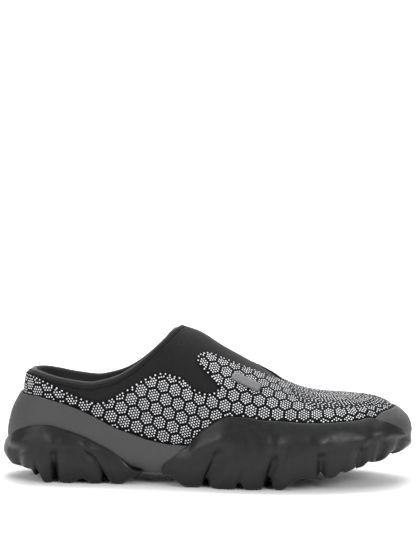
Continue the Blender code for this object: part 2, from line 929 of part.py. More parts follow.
def mesh_panel():
    """Places and triangles of one half of the mesh layer, and its outline's edges."""
    stations = upper_stations()
    flat, unflat = flat_map()
    edge = mesh_edge(flat, unflat)
    front = edge[-1][0]
    bottom = []
    for u in stations:
        x = plan(u, LATERAL)[0]
        bottom.append((u, girth_at(u, max(rim(x) - MESH_TUCK, bed(x) + 4 * FIT))))
    toe_rows = [v for v in upper_rows(LENGTH) if v > bottom[-1][1] + 0.05][:-1]
    toe = [(LENGTH, v) for v in toe_rows]
    crest = [(u, QUARTER) for u in reversed(stations) if u > front + LENGTH / 90]
    heel_rows = [v for v in reversed(upper_rows(0.0)) if bottom[0][1] + 0.05 < v < edge[0][1] - 0.05]
    heel = [(0.0, v) for v in heel_rows]
    outline = bottom + toe + crest + edge[::-1] + heel
    border = [flat(u, v) for u, v in outline]
    places = list(outline)
    for u in stations[1:-1]:
        for v in upper_rows(u):
            point = flat(u, v)
            if inside(point, border) and edge_distance(point, border) > LENGTH / 130:
                places.append((u, v))
    ring = [(k, (k + 1) % len(outline)) for k in range(len(outline))]
    toe_corner = len(bottom) + len(toe)
    below = (stations[-2], upper_rows(stations[-2])[-2])
    ring.append((toe_corner, places.index(below)))
    _, _, triangles, origins, _, _ = delaunay_2d_cdt(
        [flat(u, v) for u, v in places], ring, [], 1, LENGTH * 1e-6
    )
    kept = [tuple(origins[k][0] for k in triangle) for triangle in triangles]
    return places, kept, len(outline)


def make_mesh_overlay():
    """The dotted mesh layer, drawn taut over the upper and tucked into the foam cup."""
    places, triangles, rim_size = mesh_panel()
    points, faces = [], []
    for side in SIDES:
        low = len(points)
        points.extend(form(u, side, v, LAYER_FIT) for u, v in places)
        high = len(points)
        points.extend(form(u, side, v, LAYER_FIT + MESH_WALL) for u, v in places)
        for a, b, c in triangles:
            faces.append((low + a, low + b, low + c))
            faces.append((high + c, high + b, high + a))
        for k in range(rim_size):
            n = (k + 1) % rim_size
            (u_a, v_a), (u_b, v_b) = places[k], places[n]
            if max(u_a, u_b) < TINY or min(u_a, u_b) > LENGTH - TINY:
                continue
            if min(v_a, v_b) > QUARTER - TINY:
                continue
            faces.append((low + k, low + n, high + n, high + k))
    return make_object("mesh_overlay", points, faces, (0.10, 0.10, 0.10), 0.6)


def seam_height(x):
    """Height of the rubber's top edge, or nothing between the two pods."""
    at = x / LENGTH
    if at <= HEEL_SEAM[-1][0]:
        return HEEL_WRAP * curve(HEEL_SEAM, 1, at)
    if at >= FOREFOOT_SEAM[0][0]:
        return FOREFOOT_WRAP * curve(FOREFOOT_SEAM, 1, at)
    return 0.0


CUP_FIT = LAYER_FIT + MESH_WALL + FIT


def sole_point(u, side, z, out):
    """Point of the sole's side: outwards from the form at this height."""
    x, y, nx, ny, _ = plan(u, side)
    girth = max(girth_at(u, z), 0.0)
    base = form(u, side, girth) if girth > 0 else Vector((x, y, z))
    return Vector((base.x + nx * out, base.y + ny * out, z))


def cup_out(u, z):
    """How far the mesh and its clearance stand out of the form at height z, level."""
    base = sole_point(u, LATERAL, z, 0.0)
    over = form(u, LATERAL, girth_at(u, z, CUP_FIT), CUP_FIT)
    return math.hypot(over.x - base.x, over.y - base.y)


def foam_side(u):
    """Side of the foam at a station: heights and how far each stands out of the form."""
    x = plan(u, LATERAL)[0]
    at = u / LENGTH
    under = foam_under(x)
    top = rim(x)
    hidden = ease((seam_height(u) - top) / (4 * RUBBER_EDGE))
    wall = RIM_WALL * (1 - hidden / 2)
    foot = SOLE_FLARE * curve(FOAM_SIDE, 1, at)
    belly = SOLE_FLARE * curve(FOAM_SIDE, 2, at)
    belly_height = CUP_HEIGHT * curve(FOAM_SIDE, 3, at)
    edge = cup_out(u, top) + wall
    shoulder = mix(belly_height, top, 0.55)
    return (
        (under, -CHAMFER),
        (under + CHAMFER, foot),
        (belly_height, belly),
        (shoulder, mix(edge, belly, math.cos(0.55 * QUARTER))),
        (top - wall / 3, edge),
    )


def foam_out(u, z):
    """How far the foam's side stands out of the form at height z."""
    side = foam_side(u)
    return float(np.interp(z, [row[0] for row in side], [row[1] for row in side]))


def bar(u, side, out, recess=0.0):
    """Three places across the sole's underside at a station: middle line, halfway, edge.

    Bars run straight across the sole, and fan out past the pivots at heel and toe. A
    recess moves the edge only.
    """
    edges = {one: sole_point(u, one, 0.0, out) for one in SIDES}
    x = (edges[LATERAL].x + edges[MEDIAL].x) / 2
    pivot = min(max(x, HEEL_PIVOT * LENGTH), TOE_PIVOT * LENGTH)
    middle = pivot + (x - pivot) * BAR_SPREAD
    halfway = (mix(middle, edges[side].x, 0.55), edges[side].y * 0.55)
    edge = sole_point(u, side, 0.0, out - recess)
    return (middle, 0.0), halfway, (edge.x, edge.y)


def foam_profile(u, side):
    """Half section of the midsole, from its underside to its footbed."""
    x, y, nx, ny, spine = plan(u, side)
    rows = foam_side(u)
    made = [Vector((at, over, foam_under(at))) for at, over in bar(u, side, rows[0][1])]
    made.extend(sole_point(u, side, z, out) for z, out in rows[1:])
    top = rim(x)
    wall = rows[-1][1] - cup_out(u, top)
    made.append(sole_point(u, side, top, rows[-1][1] - wall / 2))
    floor = bed(x)
    for share in (0.0, 0.25, 0.5):
        girth = girth_at(u, mix(top - wall / 4, floor, share), CUP_FIT)
        made.append(form(u, side, girth, CUP_FIT))
    foot = form(u, side, -1.0, CUP_FIT)
    made.append(Vector((foot.x, foot.y, floor)))
    inset = FEATHER_TUCK + UPPER_WALL + CHAMFER
    made.append(Vector((x - nx * inset, y - ny * inset, floor)))
    made.append(Vector((spine, 0.0, bed(spine))))
    return made


def make_midsole():
    """The foam cup: footbed, heel cup and toe bumper in one."""
    points, faces = weld_halves(sole_stations(), foam_profile)
    return make_object("midsole", points, faces, (0.13, 0.13, 0.135), 0.75)


def make_insole():
    """The thin board-like insole inside the upper, on the footbed."""
    def profile(u, side):
        x, y, nx, ny, spine = plan(u, side)
        floor = bed(x) + FIT
        edge = FEATHER_TUCK + UPPER_WALL + FIT
        inset = FEATHER_TUCK + UPPER_WALL + CHAMFER
        middle = bed(spine) + FIT
        return [
            Vector((spine, 0.0, middle)),
            Vector((x - nx * inset, y - ny * inset, floor)),
            Vector((x - nx * edge, y - ny * edge, floor)),
            Vector((x - nx * edge, y - ny * edge, floor + INSOLE_THICKNESS)),
            Vector((spine, 0.0, middle + INSOLE_THICKNESS)),
        ]

    points, faces = weld_halves(sole_stations(), profile)
    return make_object("insole", points, faces, (0.03, 0.03, 0.032), 0.9)


def inner_top(u):
    """How far out the rubber's top edge starts: on the foam, or past its rim on the mesh."""
    seam = seam_height(u)
    cup_top = rim(plan(u, LATERAL)[0])
    over = foam_out(u, min(seam, cup_top)) + FIT
    on_mesh = cup_out(u, max(seam, cup_top))
    return mix(over, on_mesh, ease((seam - cup_top) / RUBBER_EDGE - 1))


def inner_profile(u, side):
    """Half section of a pod's inner skin: on the foam, over its rim and up the mesh."""
    rows = foam_side(u)
    ledge = rim(plan(u, LATERAL)[0]) + FIT * 1.5
    above = max(seam_height(u), ledge) + RUBBER_EDGE
    made = [Vector((x, y, foam_under(x) - FIT)) for x, y in bar(u, side, rows[0][1])]
    made.extend(sole_point(u, side, z, out + FIT) for z, out in rows[1:])
    made.append(sole_point(u, side, ledge, rows[-1][1] + FIT))
    for share in (0.0, 0.35, 0.7, 1.0):
        girth = girth_at(u, mix(ledge, above, share), CUP_FIT)
        made.append(form(u, side, girth, CUP_FIT))
    return made


def trim(points, faces, overs):
    """What lies below a cut through a skin, given each point's height over the cut.

    Returns its faces and the cut's points from back to front, which join the others.
    """
    made, joins, cuts = [], {}, {}

    def cut(one, other):
        key = (min(one, other), max(one, other))
        if key not in cuts:
            share = overs[one] / (overs[one] - overs[other])
            cuts[key] = len(points)
            points.append(points[one].lerp(points[other], share))
        return cuts[key]

    for face in faces:
        kept, ends = [], []
        for one, other in zip(face, face[1:] + face[:1]):
            if overs[one] < 0:
                kept.append(one)
            if (overs[one] < 0) != (overs[other] < 0):
                ends.append(cut(one, other))
                kept.append(ends[-1])
        if kept:
            made.append(tuple(kept))
        if ends:
            joins.setdefault(ends[0], []).append(ends[1])
            joins.setdefault(ends[1], []).append(ends[0])
    ends = [one for one in joins if len(joins[one]) == 1]
    edge = [min(ends, key=lambda one: points[one].x)]
    while True:
        ahead = [one for one in joins[edge[-1]] if one not in edge[-2:]]
        if not ahead:
            return made, edge
        edge.append(ahead[0])


def rubber_out(u, z, low, top, wrap_top, recess=0.0):
    """How far the rubber's side stands out between its foot at low and its top edge."""
    at = u / LENGTH
    on_foam = z < rim(plan(u, LATERAL)[0])
    least = (foam_out(u, z) + FIT if on_foam else cup_out(u, z)) + RUBBER_EDGE
    edge = SOLE_FLARE * curve(RUBBER_SIDE, 1, at)
    belly = SOLE_FLARE * curve(RUBBER_SIDE, 2, at)
    height = min(CUP_HEIGHT * curve(RUBBER_SIDE, 3, at), mix(low, top, 0.6))
    if z < height:
        share = (z - low) / (height - low)
        out = mix(edge, belly, math.sin(QUARTER * max(share, 0.0)))
    else:
        share = (z - height) / (top - height)
        out = mix(wrap_top, max(belly, wrap_top), math.cos(QUARTER * min(share, 1.0)))
    return max(out - recess, least)


def outer_profile(line, lines, side):
    """Half section of a pod's outer skin along one line, from its tread up to its top."""
    foot, cut, head, top_share, side_share = line
    u_foot, u_head = foot * LENGTH, head * LENGTH
    seam = seam_height(u_head)
    wrap = HEEL_WRAP if lines is HEEL_LINES else FOREFOOT_WRAP
    recess = SIDE_CUT * side_share
    start = inner_top(u_head)
    wrap_top = start + RUBBER_EDGE

    edge_out = SOLE_FLARE * curve(RUBBER_SIDE, 1, foot)
    made = []
    for x, y in bar(u_foot, side, edge_out - CHAMFER, recess):
        depth = cut
        if not HEEL_PIVOT * LENGTH <= x <= TOE_PIVOT * LENGTH:
            depth = np.interp(x / LENGTH, [row[0] for row in lines], [row[1] for row in lines])
        made.append(Vector((x, y, lift(x) + TREAD_CUT * float(depth))))
    low = made[-1].z

    corner = low + min(CHAMFER / 2, (seam - low) / 4)
    side_top = min(max(wrap * top_share, mix(corner, seam, 0.4)), mix(corner, seam, 0.75))
    for share, depth in SIDE_LEVELS:
        u = mix(u_foot, u_head, share)
        z = mix(corner, side_top, share)
        out = rubber_out(u, z, low, seam, wrap_top, recess * depth)
        made.append(sole_point(u, side, z, out))
    z = mix(side_top, seam, 0.55)
    made.append(sole_point(u_head, side, z, rubber_out(u_head, z, low, seam, wrap_top)))
    made.append(sole_point(u_head, side, seam - RUBBER_EDGE / 3, wrap_top))
    made.append(sole_point(u_head, side, seam, start + RUBBER_EDGE / 3))
    return made


def ribbon(points, first, second):
    """Triangles between two rows of points, by the shorter way across at each step."""
    faces = []
    i = k = 0
    while i < len(first) - 1 or k < len(second) - 1:
        on_first = k == len(second) - 1
        if not on_first and i < len(first) - 1:
            across = (points[first[i + 1]] - points[second[k]]).length
            back = (points[first[i]] - points[second[k + 1]]).length
            on_first = across < back
        if on_first:
            faces.append((first[i], first[i + 1], second[k]))
            i += 1
        else:
            faces.append((first[i], second[k + 1], second[k]))
            k += 1
    return faces


def make_pod(name, lines, end):
    """A rubber pod: its lugs skinned along its lines, its inner skin trimmed on the foam.

    Its end, the first or the last of its lines, is a flat face across the waist.
    """
    low, high = lines[0][0] * LENGTH, lines[-1][0] * LENGTH
    stations = [u for u in sole_stations() if low - TINY < u < high + TINY]
    points, faces, caps = [], [], []
    for side in SIDES:
        outer = [outer_profile(line, lines, side) for line in lines]
        size = len(outer[0])
        first = len(points)
        points.extend(point for section in outer for point in section)
        faces.extend(skin(first, [line[0] * LENGTH for line in lines], size))
        edge = [first + i * size + size - 1 for i in range(len(outer))]
        outer_end = [first + end % len(outer) * size + k for k in range(size)]

        inner = [inner_profile(u, side) for u in stations]
        tops = [seam_height(u) - RUBBER_EDGE / 3 for u in stations]
        size = len(inner[0])
        first = len(points)
        points.extend(point for section in inner for point in section)
        overs = {}
        for i, section in enumerate(inner):
            for k, point in enumerate(section):
                overs[first + i * size + k] = point.z - tops[i]
        below, cut = trim(points, skin(first, stations, size), overs)
        faces.extend(below)
        faces.extend(ribbon(points, edge, cut))
        column = [first + end % len(inner) * size + k for k in range(size)]
        caps.append((outer_end, [one for one in column if overs[one] < 0] + [cut[end]]))
    (left_out, left_in), (right_out, right_in) = caps
    faces.append(tuple(left_out + left_in[::-1] + right_in[1:] + right_out[:0:-1]))
    return make_object(name, points, faces, (0.045, 0.045, 0.047), 0.5)


def make_side_tab():
    """A plain rounded metal tab, flat against the mesh on the outer side."""
    x = TAB_AT[0] * LENGTH
    girth = mix(girth_at(x, rim(x)), QUARTER, TAB_AT[1])
    out = LAYER_FIT + MESH_WALL
    step = 0.01
    middle = form(x, LATERAL, girth, out)
    along = (form(x + step, LATERAL, girth, out) - form(x - step, LATERAL, girth, out)).normalized()
    upward = form(x, LATERAL, girth + step, out) - form(x, LATERAL, girth - step, out)
    outward = upward.cross(along).normalized()
    if outward.y > 0:
        outward = -outward
    upward = along.cross(outward).normalized()
    if upward.z < 0:
        upward = -upward
    corner = TAB_WIDTH * 0.42
    points = []
    for inset, rise in ((0.0, 0.0), (0.0, 0.7), (0.3, 1.0)):
        for turn in range(24):
            angle = 2 * math.pi * (turn + 0.5) / 24
            long = math.copysign(TAB_LENGTH / 2 - corner, math.cos(angle))
            wide = math.copysign(TAB_WIDTH / 2 - corner, math.sin(angle))
            radius = corner - inset * TAB_THICKNESS
            a = long + radius * math.cos(angle)
            b = wide + radius * math.sin(angle)
            points.append(middle + along * a + upward * b + outward * (FIT + rise * TAB_THICKNESS))
    faces = [tuple(range(24)), tuple(range(48, 72))]
    for ring in (0, 24):
        for k in range(24):
            n = (k + 1) % 24
            faces.append((ring + k, ring + n, ring + 24 + n, ring + 24 + k))
    return make_object("side_tab", points, faces, (0.62, 0.63, 0.64), 0.32, metallic=1.0)


def main():
    for old in list(bpy.data.objects):
        bpy.data.objects.remove(old, do_unlink=True)
    make_upper()
    make_mesh_overlay()
    make_collar_roll()
    make_midsole()
    make_insole()
    make_pod("outsole_heel", HEEL_LINES, -1)
    make_pod("outsole_forefoot", FOREFOOT_LINES, 0)
    make_side_tab()


main()
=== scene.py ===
"""Looks of a slip-on sneaker, laid out as an add-on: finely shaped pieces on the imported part.

Shapes follow the part's own form: stations u run along the sole's edge from heel to toe,
and girth v runs round the upper, from -1 at its lower edge over 0 at its widest level to
a quarter turn on the centre line.
"""
import math
from bisect import bisect_right

import bmesh
import bpy
import numpy as np
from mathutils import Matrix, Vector
from mathutils.geometry import delaunay_2d_cdt
from mathutils.kdtree import KDTree


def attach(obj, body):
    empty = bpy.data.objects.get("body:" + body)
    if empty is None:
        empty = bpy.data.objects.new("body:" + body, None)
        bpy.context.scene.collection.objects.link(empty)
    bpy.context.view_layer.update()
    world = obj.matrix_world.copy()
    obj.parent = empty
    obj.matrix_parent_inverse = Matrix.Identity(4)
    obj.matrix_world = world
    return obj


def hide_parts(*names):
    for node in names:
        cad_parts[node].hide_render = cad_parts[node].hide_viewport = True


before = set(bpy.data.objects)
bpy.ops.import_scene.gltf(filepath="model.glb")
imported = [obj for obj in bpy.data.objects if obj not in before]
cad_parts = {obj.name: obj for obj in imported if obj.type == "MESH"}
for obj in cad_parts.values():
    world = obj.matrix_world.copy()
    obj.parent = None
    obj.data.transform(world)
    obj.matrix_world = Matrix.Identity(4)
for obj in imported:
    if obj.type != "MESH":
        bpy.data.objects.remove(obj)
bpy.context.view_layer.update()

bl_info = {
    "name": "Slip-on sneaker",
    "version": (1, 0, 0),
    "blender": (4, 5, 0),
    "location": "3D View > Sidebar > Sneaker",
    "description": "Builds the sneaker's cloth, mesh, foam and rubber pieces and its studio",
    "category": "Object",
}

# Driving dimensions, in metres
LENGTH = 0.302
BALL_WIDTH = 0.0965
HEEL_WIDTH = 0.064
INSTEP_HEIGHT = 0.1130
TOE_HEIGHT = 0.0617
HEEL_HEIGHT = 0.0786
COLLAR_DIP = 0.0709
BED_HEIGHT = 0.0216
CUP_HEIGHT = 0.0628
HEEL_WRAP = 0.0427
FOREFOOT_WRAP = 0.0521
SLAB = 0.0121
TREAD_CUT = 0.0099
TOE_SPRING = 0.0221
SWING = 0.008

# Walls and thicknesses, in metres
UPPER_WALL = 0.0026
MESH_WALL = 0.0008
RIM_WALL = 0.0020
LINING_WALL = 0.0016
INSOLE_THICKNESS = 0.0035
RUBBER_EDGE = 0.0011
SIDE_CUT = 0.0045
SOLE_FLARE = 0.0065
FEATHER_TUCK = 0.0025
CHAMFER = 0.0025
ROLL_RADIUS = 0.0016
LINING_DEPTH = 0.0060
MESH_TUCK = 0.0080
TAB_LENGTH = 0.023
TAB_WIDTH = 0.0080
TAB_THICKNESS = 0.0010

# Clearances between pieces, in metres
FIT = 0.00035
LAYER_FIT = 0.0005
LINING_FIT = 0.0006

QUARTER = math.pi / 2
TINY = 1e-9
LATERAL, MEDIAL = -1, 1
SIDES = (LATERAL, MEDIAL)

# Where the outline turns round the heel and the toe, as shares of the length
HEEL_FAN = 0.149 * LENGTH
TOE_FAN = 0.702 * LENGTH
BACK = 0.050 * LENGTH
TIP = 0.967 * LENGTH
SWING_FROM = 0.3
SPINE_REACH = 0.5
SPINE_SPREAD = 0.3
TOE_SQUARE = 0.92

# Half widths of the upper at its widest level: x by length, then each side's share
# of the local width, which goes from the heel's to the ball's between BLEND rows
BLEND = (0.15, 0.66)
WIDTHS = (
    # x, lateral, medial
    (0.126, 0.500, 0.500),
    (0.225, 0.500, 0.478),
    (0.331, 0.465, 0.412),
    (0.436, 0.472, 0.404),
    (0.497, 0.485, 0.427),
    (0.579, 0.500, 0.447),
    (0.662, 0.508, 0.482),
    (0.712, 0.508, 0.492),
)
# Centre line of the form: share of the rise from toe height to instep height
RIDGE = (
    # x, rise
    (0.050, 0.64),
    (0.126, 0.79),
    (0.225, 0.905),
    (0.331, 1.02),
    (0.390, 1.095),
    (0.418, 1.057),
    (0.441, 1.0),
    (0.480, 0.922),
    (0.539, 0.709),
    (0.597, 0.516),
    (0.656, 0.304),
    (0.685, 0.195),
    (0.714, 0.113),
    (0.743, 0.054),
    (0.773, 0.024),
    (0.831, 0.0),
)
# Collar edge: share of the rise from the dip to the heel or, past the dip, the throat
COLLAR = (
    # x, rise
    (0.050, 1.0),
    (0.083, 0.91),
    (0.115, 0.69),
    (0.176, 0.22),
    (0.225, 0.0),
    (0.261, 0.045),
    (0.298, 0.135),
    (0.334, 0.298),
    (0.371, 0.525),
    (0.395, 0.692),
    (0.412, 0.810),
    (0.4275, 0.935),
    (0.441, 1.0),
)
DIP_AT = 0.225
# Section of the form: height of the widest level by toe height, squareness of the arch
SECTIONS = (
    # x, widest, square
    (0.050, 0.669, 2.0),
    (0.250, 0.652, 2.0),
    (0.436, 0.631, 2.0),
    (0.563, 0.600, 2.05),
    (0.680, 0.590, 2.4),
    (0.800, 0.621, 3.0),
    (0.967, 0.669, 3.3),
)
# Footbed: share of the bed height
BED = (
    # x, height
    (0.050, 1.27),
    (0.200, 1.27),
    (0.331, 1.22),
    (0.500, 1.05),
    (0.640, 0.96),
    (0.728, 1.00),
    (0.828, 1.18),
    (0.910, 1.42),
    (0.967, 1.62),
)
# Upper edge of the foam: share of the cup height, in view at heel, waist and toe
RIM = (
    # x, height
    (0.050, 1.0),
    (0.097, 1.0),
    (0.139, 0.955),
    (0.188, 0.885),
    (0.237, 0.790),
    (0.295, 0.650),
    (0.334, 0.590),
    (0.376, 0.527),
    (0.430, 0.485),
    (0.475, 0.480),
    (0.505, 0.530),
    (0.530, 0.620),
    (0.570, 0.680),
    (0.630, 0.680),
    (0.760, 0.600),
    (0.850, 0.620),
    (0.890, 0.700),
    (0.915, 0.790),
    (0.935, 0.845),
    (0.967, 0.865),
)
# Side of the foam: how far it stands out of the form, by the flare
FOAM_SIDE = (
    # x, foot, belly, belly height by cup height
    (0.000, 0.90, 1.85, 0.52),
    (0.066, 0.60, 1.22, 0.52),
    (0.149, 0.22, 0.70, 0.52),
    (0.248, 0.22, 0.76, 0.44),
    (0.331, 0.30, 0.76, 0.34),
    (0.384, 0.30, 0.76, 0.31),
    (0.447, 0.30, 0.76, 0.31),
    (0.530, 0.15, 0.50, 0.41),
    (0.662, 0.08, 0.47, 0.47),
    (0.795, 0.08, 0.47, 0.50),
    (0.894, 0.00, 0.85, 0.56),
    (0.944, 0.00, 1.30, 0.59),
    (1.000, 0.00, 1.50, 0.575),
)
# Underside of the foam: share of the slab under it
FOAM_UNDER = (
    # x, lift
    (0.000, 1.12),
    (0.075, 1.10),
    (0.110, 1.00),
    (0.285, 1.00),
    (0.318, 0.94),
    (0.357, 0.81),
    (0.365, 0.72),
    (0.409, 0.70),
    (0.4125, 0.79),
    (0.425, 0.84),
    (0.450, 0.93),
    (0.500, 1.00),
    (0.700, 1.00),
    (0.850, 0.80),
    (0.950, 0.55),
    (1.000, 0.45),
)
FOAM_STEPS = (0.357, 0.365, 0.409, 0.4125)
# Lift of the tread's base line towards the toe: share of the toe spring
LIFT = (
    # x, lift
    (0.680, 0.0),
    (0.729, 0.11),
    (0.762, 0.22),
    (0.810, 0.35),
    (0.845, 0.53),
    (0.894, 0.67),
    (0.944, 0.88),
    (0.980, 1.0),
)
# Side of the rubber: how far it stands out of the form, by the flare
RUBBER_SIDE = (
    # x, edge, belly, belly height by cup height
    (0.000, 1.30, 2.33, 0.32),
    (0.066, 1.05, 1.78, 0.32),
    (0.149, 0.80, 1.34, 0.31),
    (0.248, 0.70, 1.22, 0.28),
    (0.310, 0.55, 1.00, 0.20),
    (0.345, 0.30, 0.80, 0.18),
    (0.357, 0.15, 0.70, 0.17),
    (0.4125, 0.45, 0.92, 0.20),
    (0.470, 0.68, 1.14, 0.33),
    (0.530, 0.76, 1.24, 0.38),
    (0.662, 0.80, 1.25, 0.38),
    (0.795, 0.78, 1.28, 0.42),
    (0.910, 0.64, 1.38, 0.50),
    (0.967, 0.30, 1.50, 0.50),
    (1.000, 0.15, 1.48, 0.47),
)
# Top edge of each rubber pod: share of its wrap height
HEEL_SEAM = (
    # x, height
    (0.000, 0.66),
    (0.009, 0.69),
    (0.025, 0.81),
    (0.046, 0.91),
    (0.074, 0.97),
    (0.108, 1.0),
    (0.132, 0.99),
    (0.161, 0.945),
    (0.188, 0.89),
    (0.220, 0.815),
    (0.254, 0.695),
    (0.282, 0.59),
    (0.307, 0.46),
    (0.327, 0.35),
    (0.344, 0.28),
    (0.357, 0.265),
)
FOREFOOT_SEAM = (
    # x, height
    (0.4125, 0.26),
    (0.4145, 0.30),
    (0.432, 0.39),
    (0.448, 0.46),
    (0.460, 0.535),
    (0.4725, 0.58),
    (0.4844, 0.665),
    (0.500, 0.775),
    (0.521, 0.86),
    (0.541, 0.94),
    (0.561, 0.985),
    (0.585, 1.0),
    (0.619, 0.99),
    (0.651, 0.96),
    (0.682, 0.95),
    (0.724, 0.935),
    (0.773, 0.92),
    (0.813, 0.92),
    (0.853, 0.93),
    (0.894, 0.94),
    (0.925, 0.965),
    (0.947, 0.93),
    (0.984, 0.765),
    (0.994, 0.69),
    (1.000, 0.64),
)
# Lines that run across each pod and up its side, along its lugs and cuts. Foot and
# head are places by length, cut is by the tread cut, top is the height by wrap where
# the side smooths out, and side is the share of the side cut.
HEEL_LINES = (
    # foot, cut, head, top, side
    (0.000, 1.10, 0.000, 0.57, 0.0),
    (0.002, 1.10, 0.004, 0.57, 0.0),
    (0.006, 1.10, 0.012, 0.58, 0.0),
    (0.011, 1.10, 0.020, 0.58, 0.0),
    (0.017, 1.11, 0.028, 0.59, 0.35),
    (0.027, 1.22, 0.047, 0.59, 1.0),
    (0.040, 0.92, 0.064, 0.61, 0.4),
    (0.062, 0.90, 0.082, 0.62, 0.0),
    (0.088, 0.90, 0.098, 0.62, 0.0),
    (0.112, 0.00, 0.113, 0.62, 0.0),
    (0.130, 0.00, 0.129, 0.61, 0.45),
    (0.143, 1.00, 0.144, 0.58, 1.0),
    (0.157, 0.00, 0.158, 0.61, 0.45),
    (0.182, 0.00, 0.178, 0.62, 0.0),
    (0.212, 0.34, 0.196, 0.62, 0.1),
    (0.237, 0.00, 0.208, 0.61, 0.15),
    (0.255, 0.00, 0.219, 0.60, 0.45),
    (0.267, 0.92, 0.230, 0.56, 1.0),
    (0.282, 0.00, 0.242, 0.55, 0.35),
    (0.303, 0.00, 0.261, 0.50, 0.0),
    (0.320, 0.25, 0.286, 0.42, 0.0),
    (0.334, 0.52, 0.311, 0.33, 0.0),
    (0.346, 0.73, 0.334, 0.25, 0.0),
    (0.357, 0.83, 0.357, 0.20, 0.0),
)
FOREFOOT_LINES = (
    # foot, cut, head, top, side
    (0.4125, 0.79, 0.4125, 0.22, 0.0),
    (0.425, 0.77, 0.424, 0.27, 0.0),
    (0.440, 0.52, 0.442, 0.34, 0.0),
    (0.452, 0.22, 0.458, 0.41, 0.0),
    (0.466, 0.05, 0.476, 0.48, 0.0),
    (0.487, 0.05, 0.515, 0.54, 0.2),
    (0.502, 0.10, 0.538, 0.56, 0.5),
    (0.514, 0.62, 0.556, 0.58, 1.0),
    (0.530, 0.00, 0.578, 0.57, 0.5),
    (0.552, 0.00, 0.598, 0.57, 0.0),
    (0.580, 0.00, 0.620, 0.57, 0.0),
    (0.597, 0.46, 0.635, 0.56, 0.12),
    (0.614, 0.00, 0.649, 0.55, 0.0),
    (0.632, 0.00, 0.661, 0.54, 0.1),
    (0.648, 0.06, 0.672, 0.54, 0.45),
    (0.664, 0.85, 0.684, 0.50, 1.0),
    (0.679, 0.05, 0.697, 0.54, 0.45),
    (0.699, 0.00, 0.713, 0.56, 0.0),
    (0.722, 0.30, 0.731, 0.56, 0.0),
    (0.748, 0.50, 0.750, 0.56, 0.1),
    (0.772, 0.22, 0.768, 0.56, 0.1),
    (0.784, 0.12, 0.781, 0.55, 0.45),
    (0.798, 0.62, 0.795, 0.53, 1.0),
    (0.813, 0.10, 0.812, 0.58, 0.45),
    (0.832, 0.02, 0.831, 0.60, 0.0),
    (0.848, 0.20, 0.847, 0.60, 0.0),
    (0.862, 0.03, 0.862, 0.61, 0.0),
    (0.882, 0.08, 0.882, 0.61, 0.45),
    (0.897, 0.34, 0.897, 0.59, 1.0),
    (0.909, 0.08, 0.911, 0.64, 0.4),
    (0.926, 0.00, 0.927, 0.66, 0.3),
    (0.943, 0.30, 0.945, 0.66, 1.0),
    (0.955, 0.05, 0.957, 0.68, 0.35),
    (0.968, 0.04, 0.969, 0.69, 0.3),
    (0.979, 0.26, 0.979, 0.69, 0.9),
    (0.987, 0.02, 0.987, 0.66, 0.35),
    (0.993, 0.00, 0.993, 0.62, 0.0),
    (0.998, 0.00, 0.998, 0.58, 0.0),
    (1.000, 0.00, 1.000, 0.57, 0.0),
)
# The mesh's honeycomb bends round a place above the toe, at this distance along the cloth
BEND_AT = 0.240
BEND_RADIUS = 0.43
# Honeycomb of dots: slant of its rows, the rows and columns of cells that are drawn, and the
# columns of dots in a cell
SLANT = math.sin(math.radians(60))
CELL_ROWS = range(-8, 12)
CELL_COLUMNS = range(-30, 16)
DOT_COLUMNS = (
    # place, dots
    (-2, 3),
    (-1, 4),
    (0, 5),
    (1, 4),
    (2, 3),
)
# Border row of dots: distance from the mesh's edge, and between dots by their pitch
BORDER_AT = 0.0011
BORDER_PITCH = 1.15
# Least distances between dots, from a dot to the sole and to the border row, by the pitch
DOT_LEAST = 0.86
DOT_OVER_SOLE = 0.35
DOT_UNDER_BORDER = 0.55
# Girths where the dots start, and where cells and border row end short of the centre line
DOTS_FROM = -0.9
CELLS_TO = QUARTER - 0.004
BORDER_TO = QUARTER - 0.03
# How far past the edge's front and rear the bare cloth above it is looked at
FRONT_MARGIN = 0.002
REAR_MARGIN = 0.1
# A dot's top by its foot, its corners, and how its size varies
DOT_TOP = 0.62
DOT_CORNERS = 6
DOT_SPREAD = (0.9, 1.08)
DOT_SEED = 7
# Where the painted shade in the gap along the rubber's top edge fades out, below the seam
LIP_SHADE = (0.0004, 0.0011)
# Half width and depth of the pressed line by the collar; the half width also spans the painted shade in
# it
GROOVE = (0.0010, 0.0006)
# Rubber swells a little above the head of a valley, spread along the pod by some passes
LEDGE_SWELL = (
    # share of the way up to the seam, how far out
    (0.14, 0.0019),
    (0.32, 0.0026),
    (0.52, 0.0017),
    (0.72, 0.0005),
    (0.88, 0.0),
)
SWELL_PASSES = 24
# Spaces between two of a pod's lines once it is drawn finer
POD_STEPS = 5
# Points closer than this are one, and the step of slopes measured along the form
WELD = FIT / 50
STEP = LENGTH / 1000
# Rows at the toe and the heel keep this girth from the corners of the mesh panel
CORNER_GIRTH = 0.05
# Spaces between stations: round the heel, along each stretch, round the toe
UPPER_SPACES = (18, 36, 34, 26)
SOLE_SPACES = (20, 28, 3, 6, 3, 40, 28)
# Rows of the lining inside the collar by its depth, turns of its rolled edge in degrees
LINING_ROWS = (1, 0.8, 0.6, 0.45, 0.3, 0.15)
ROLL_TURNS = range(-35, 216, 14)
# Rounding of the insole's top edge
INSOLE_ROUND = 0.0008
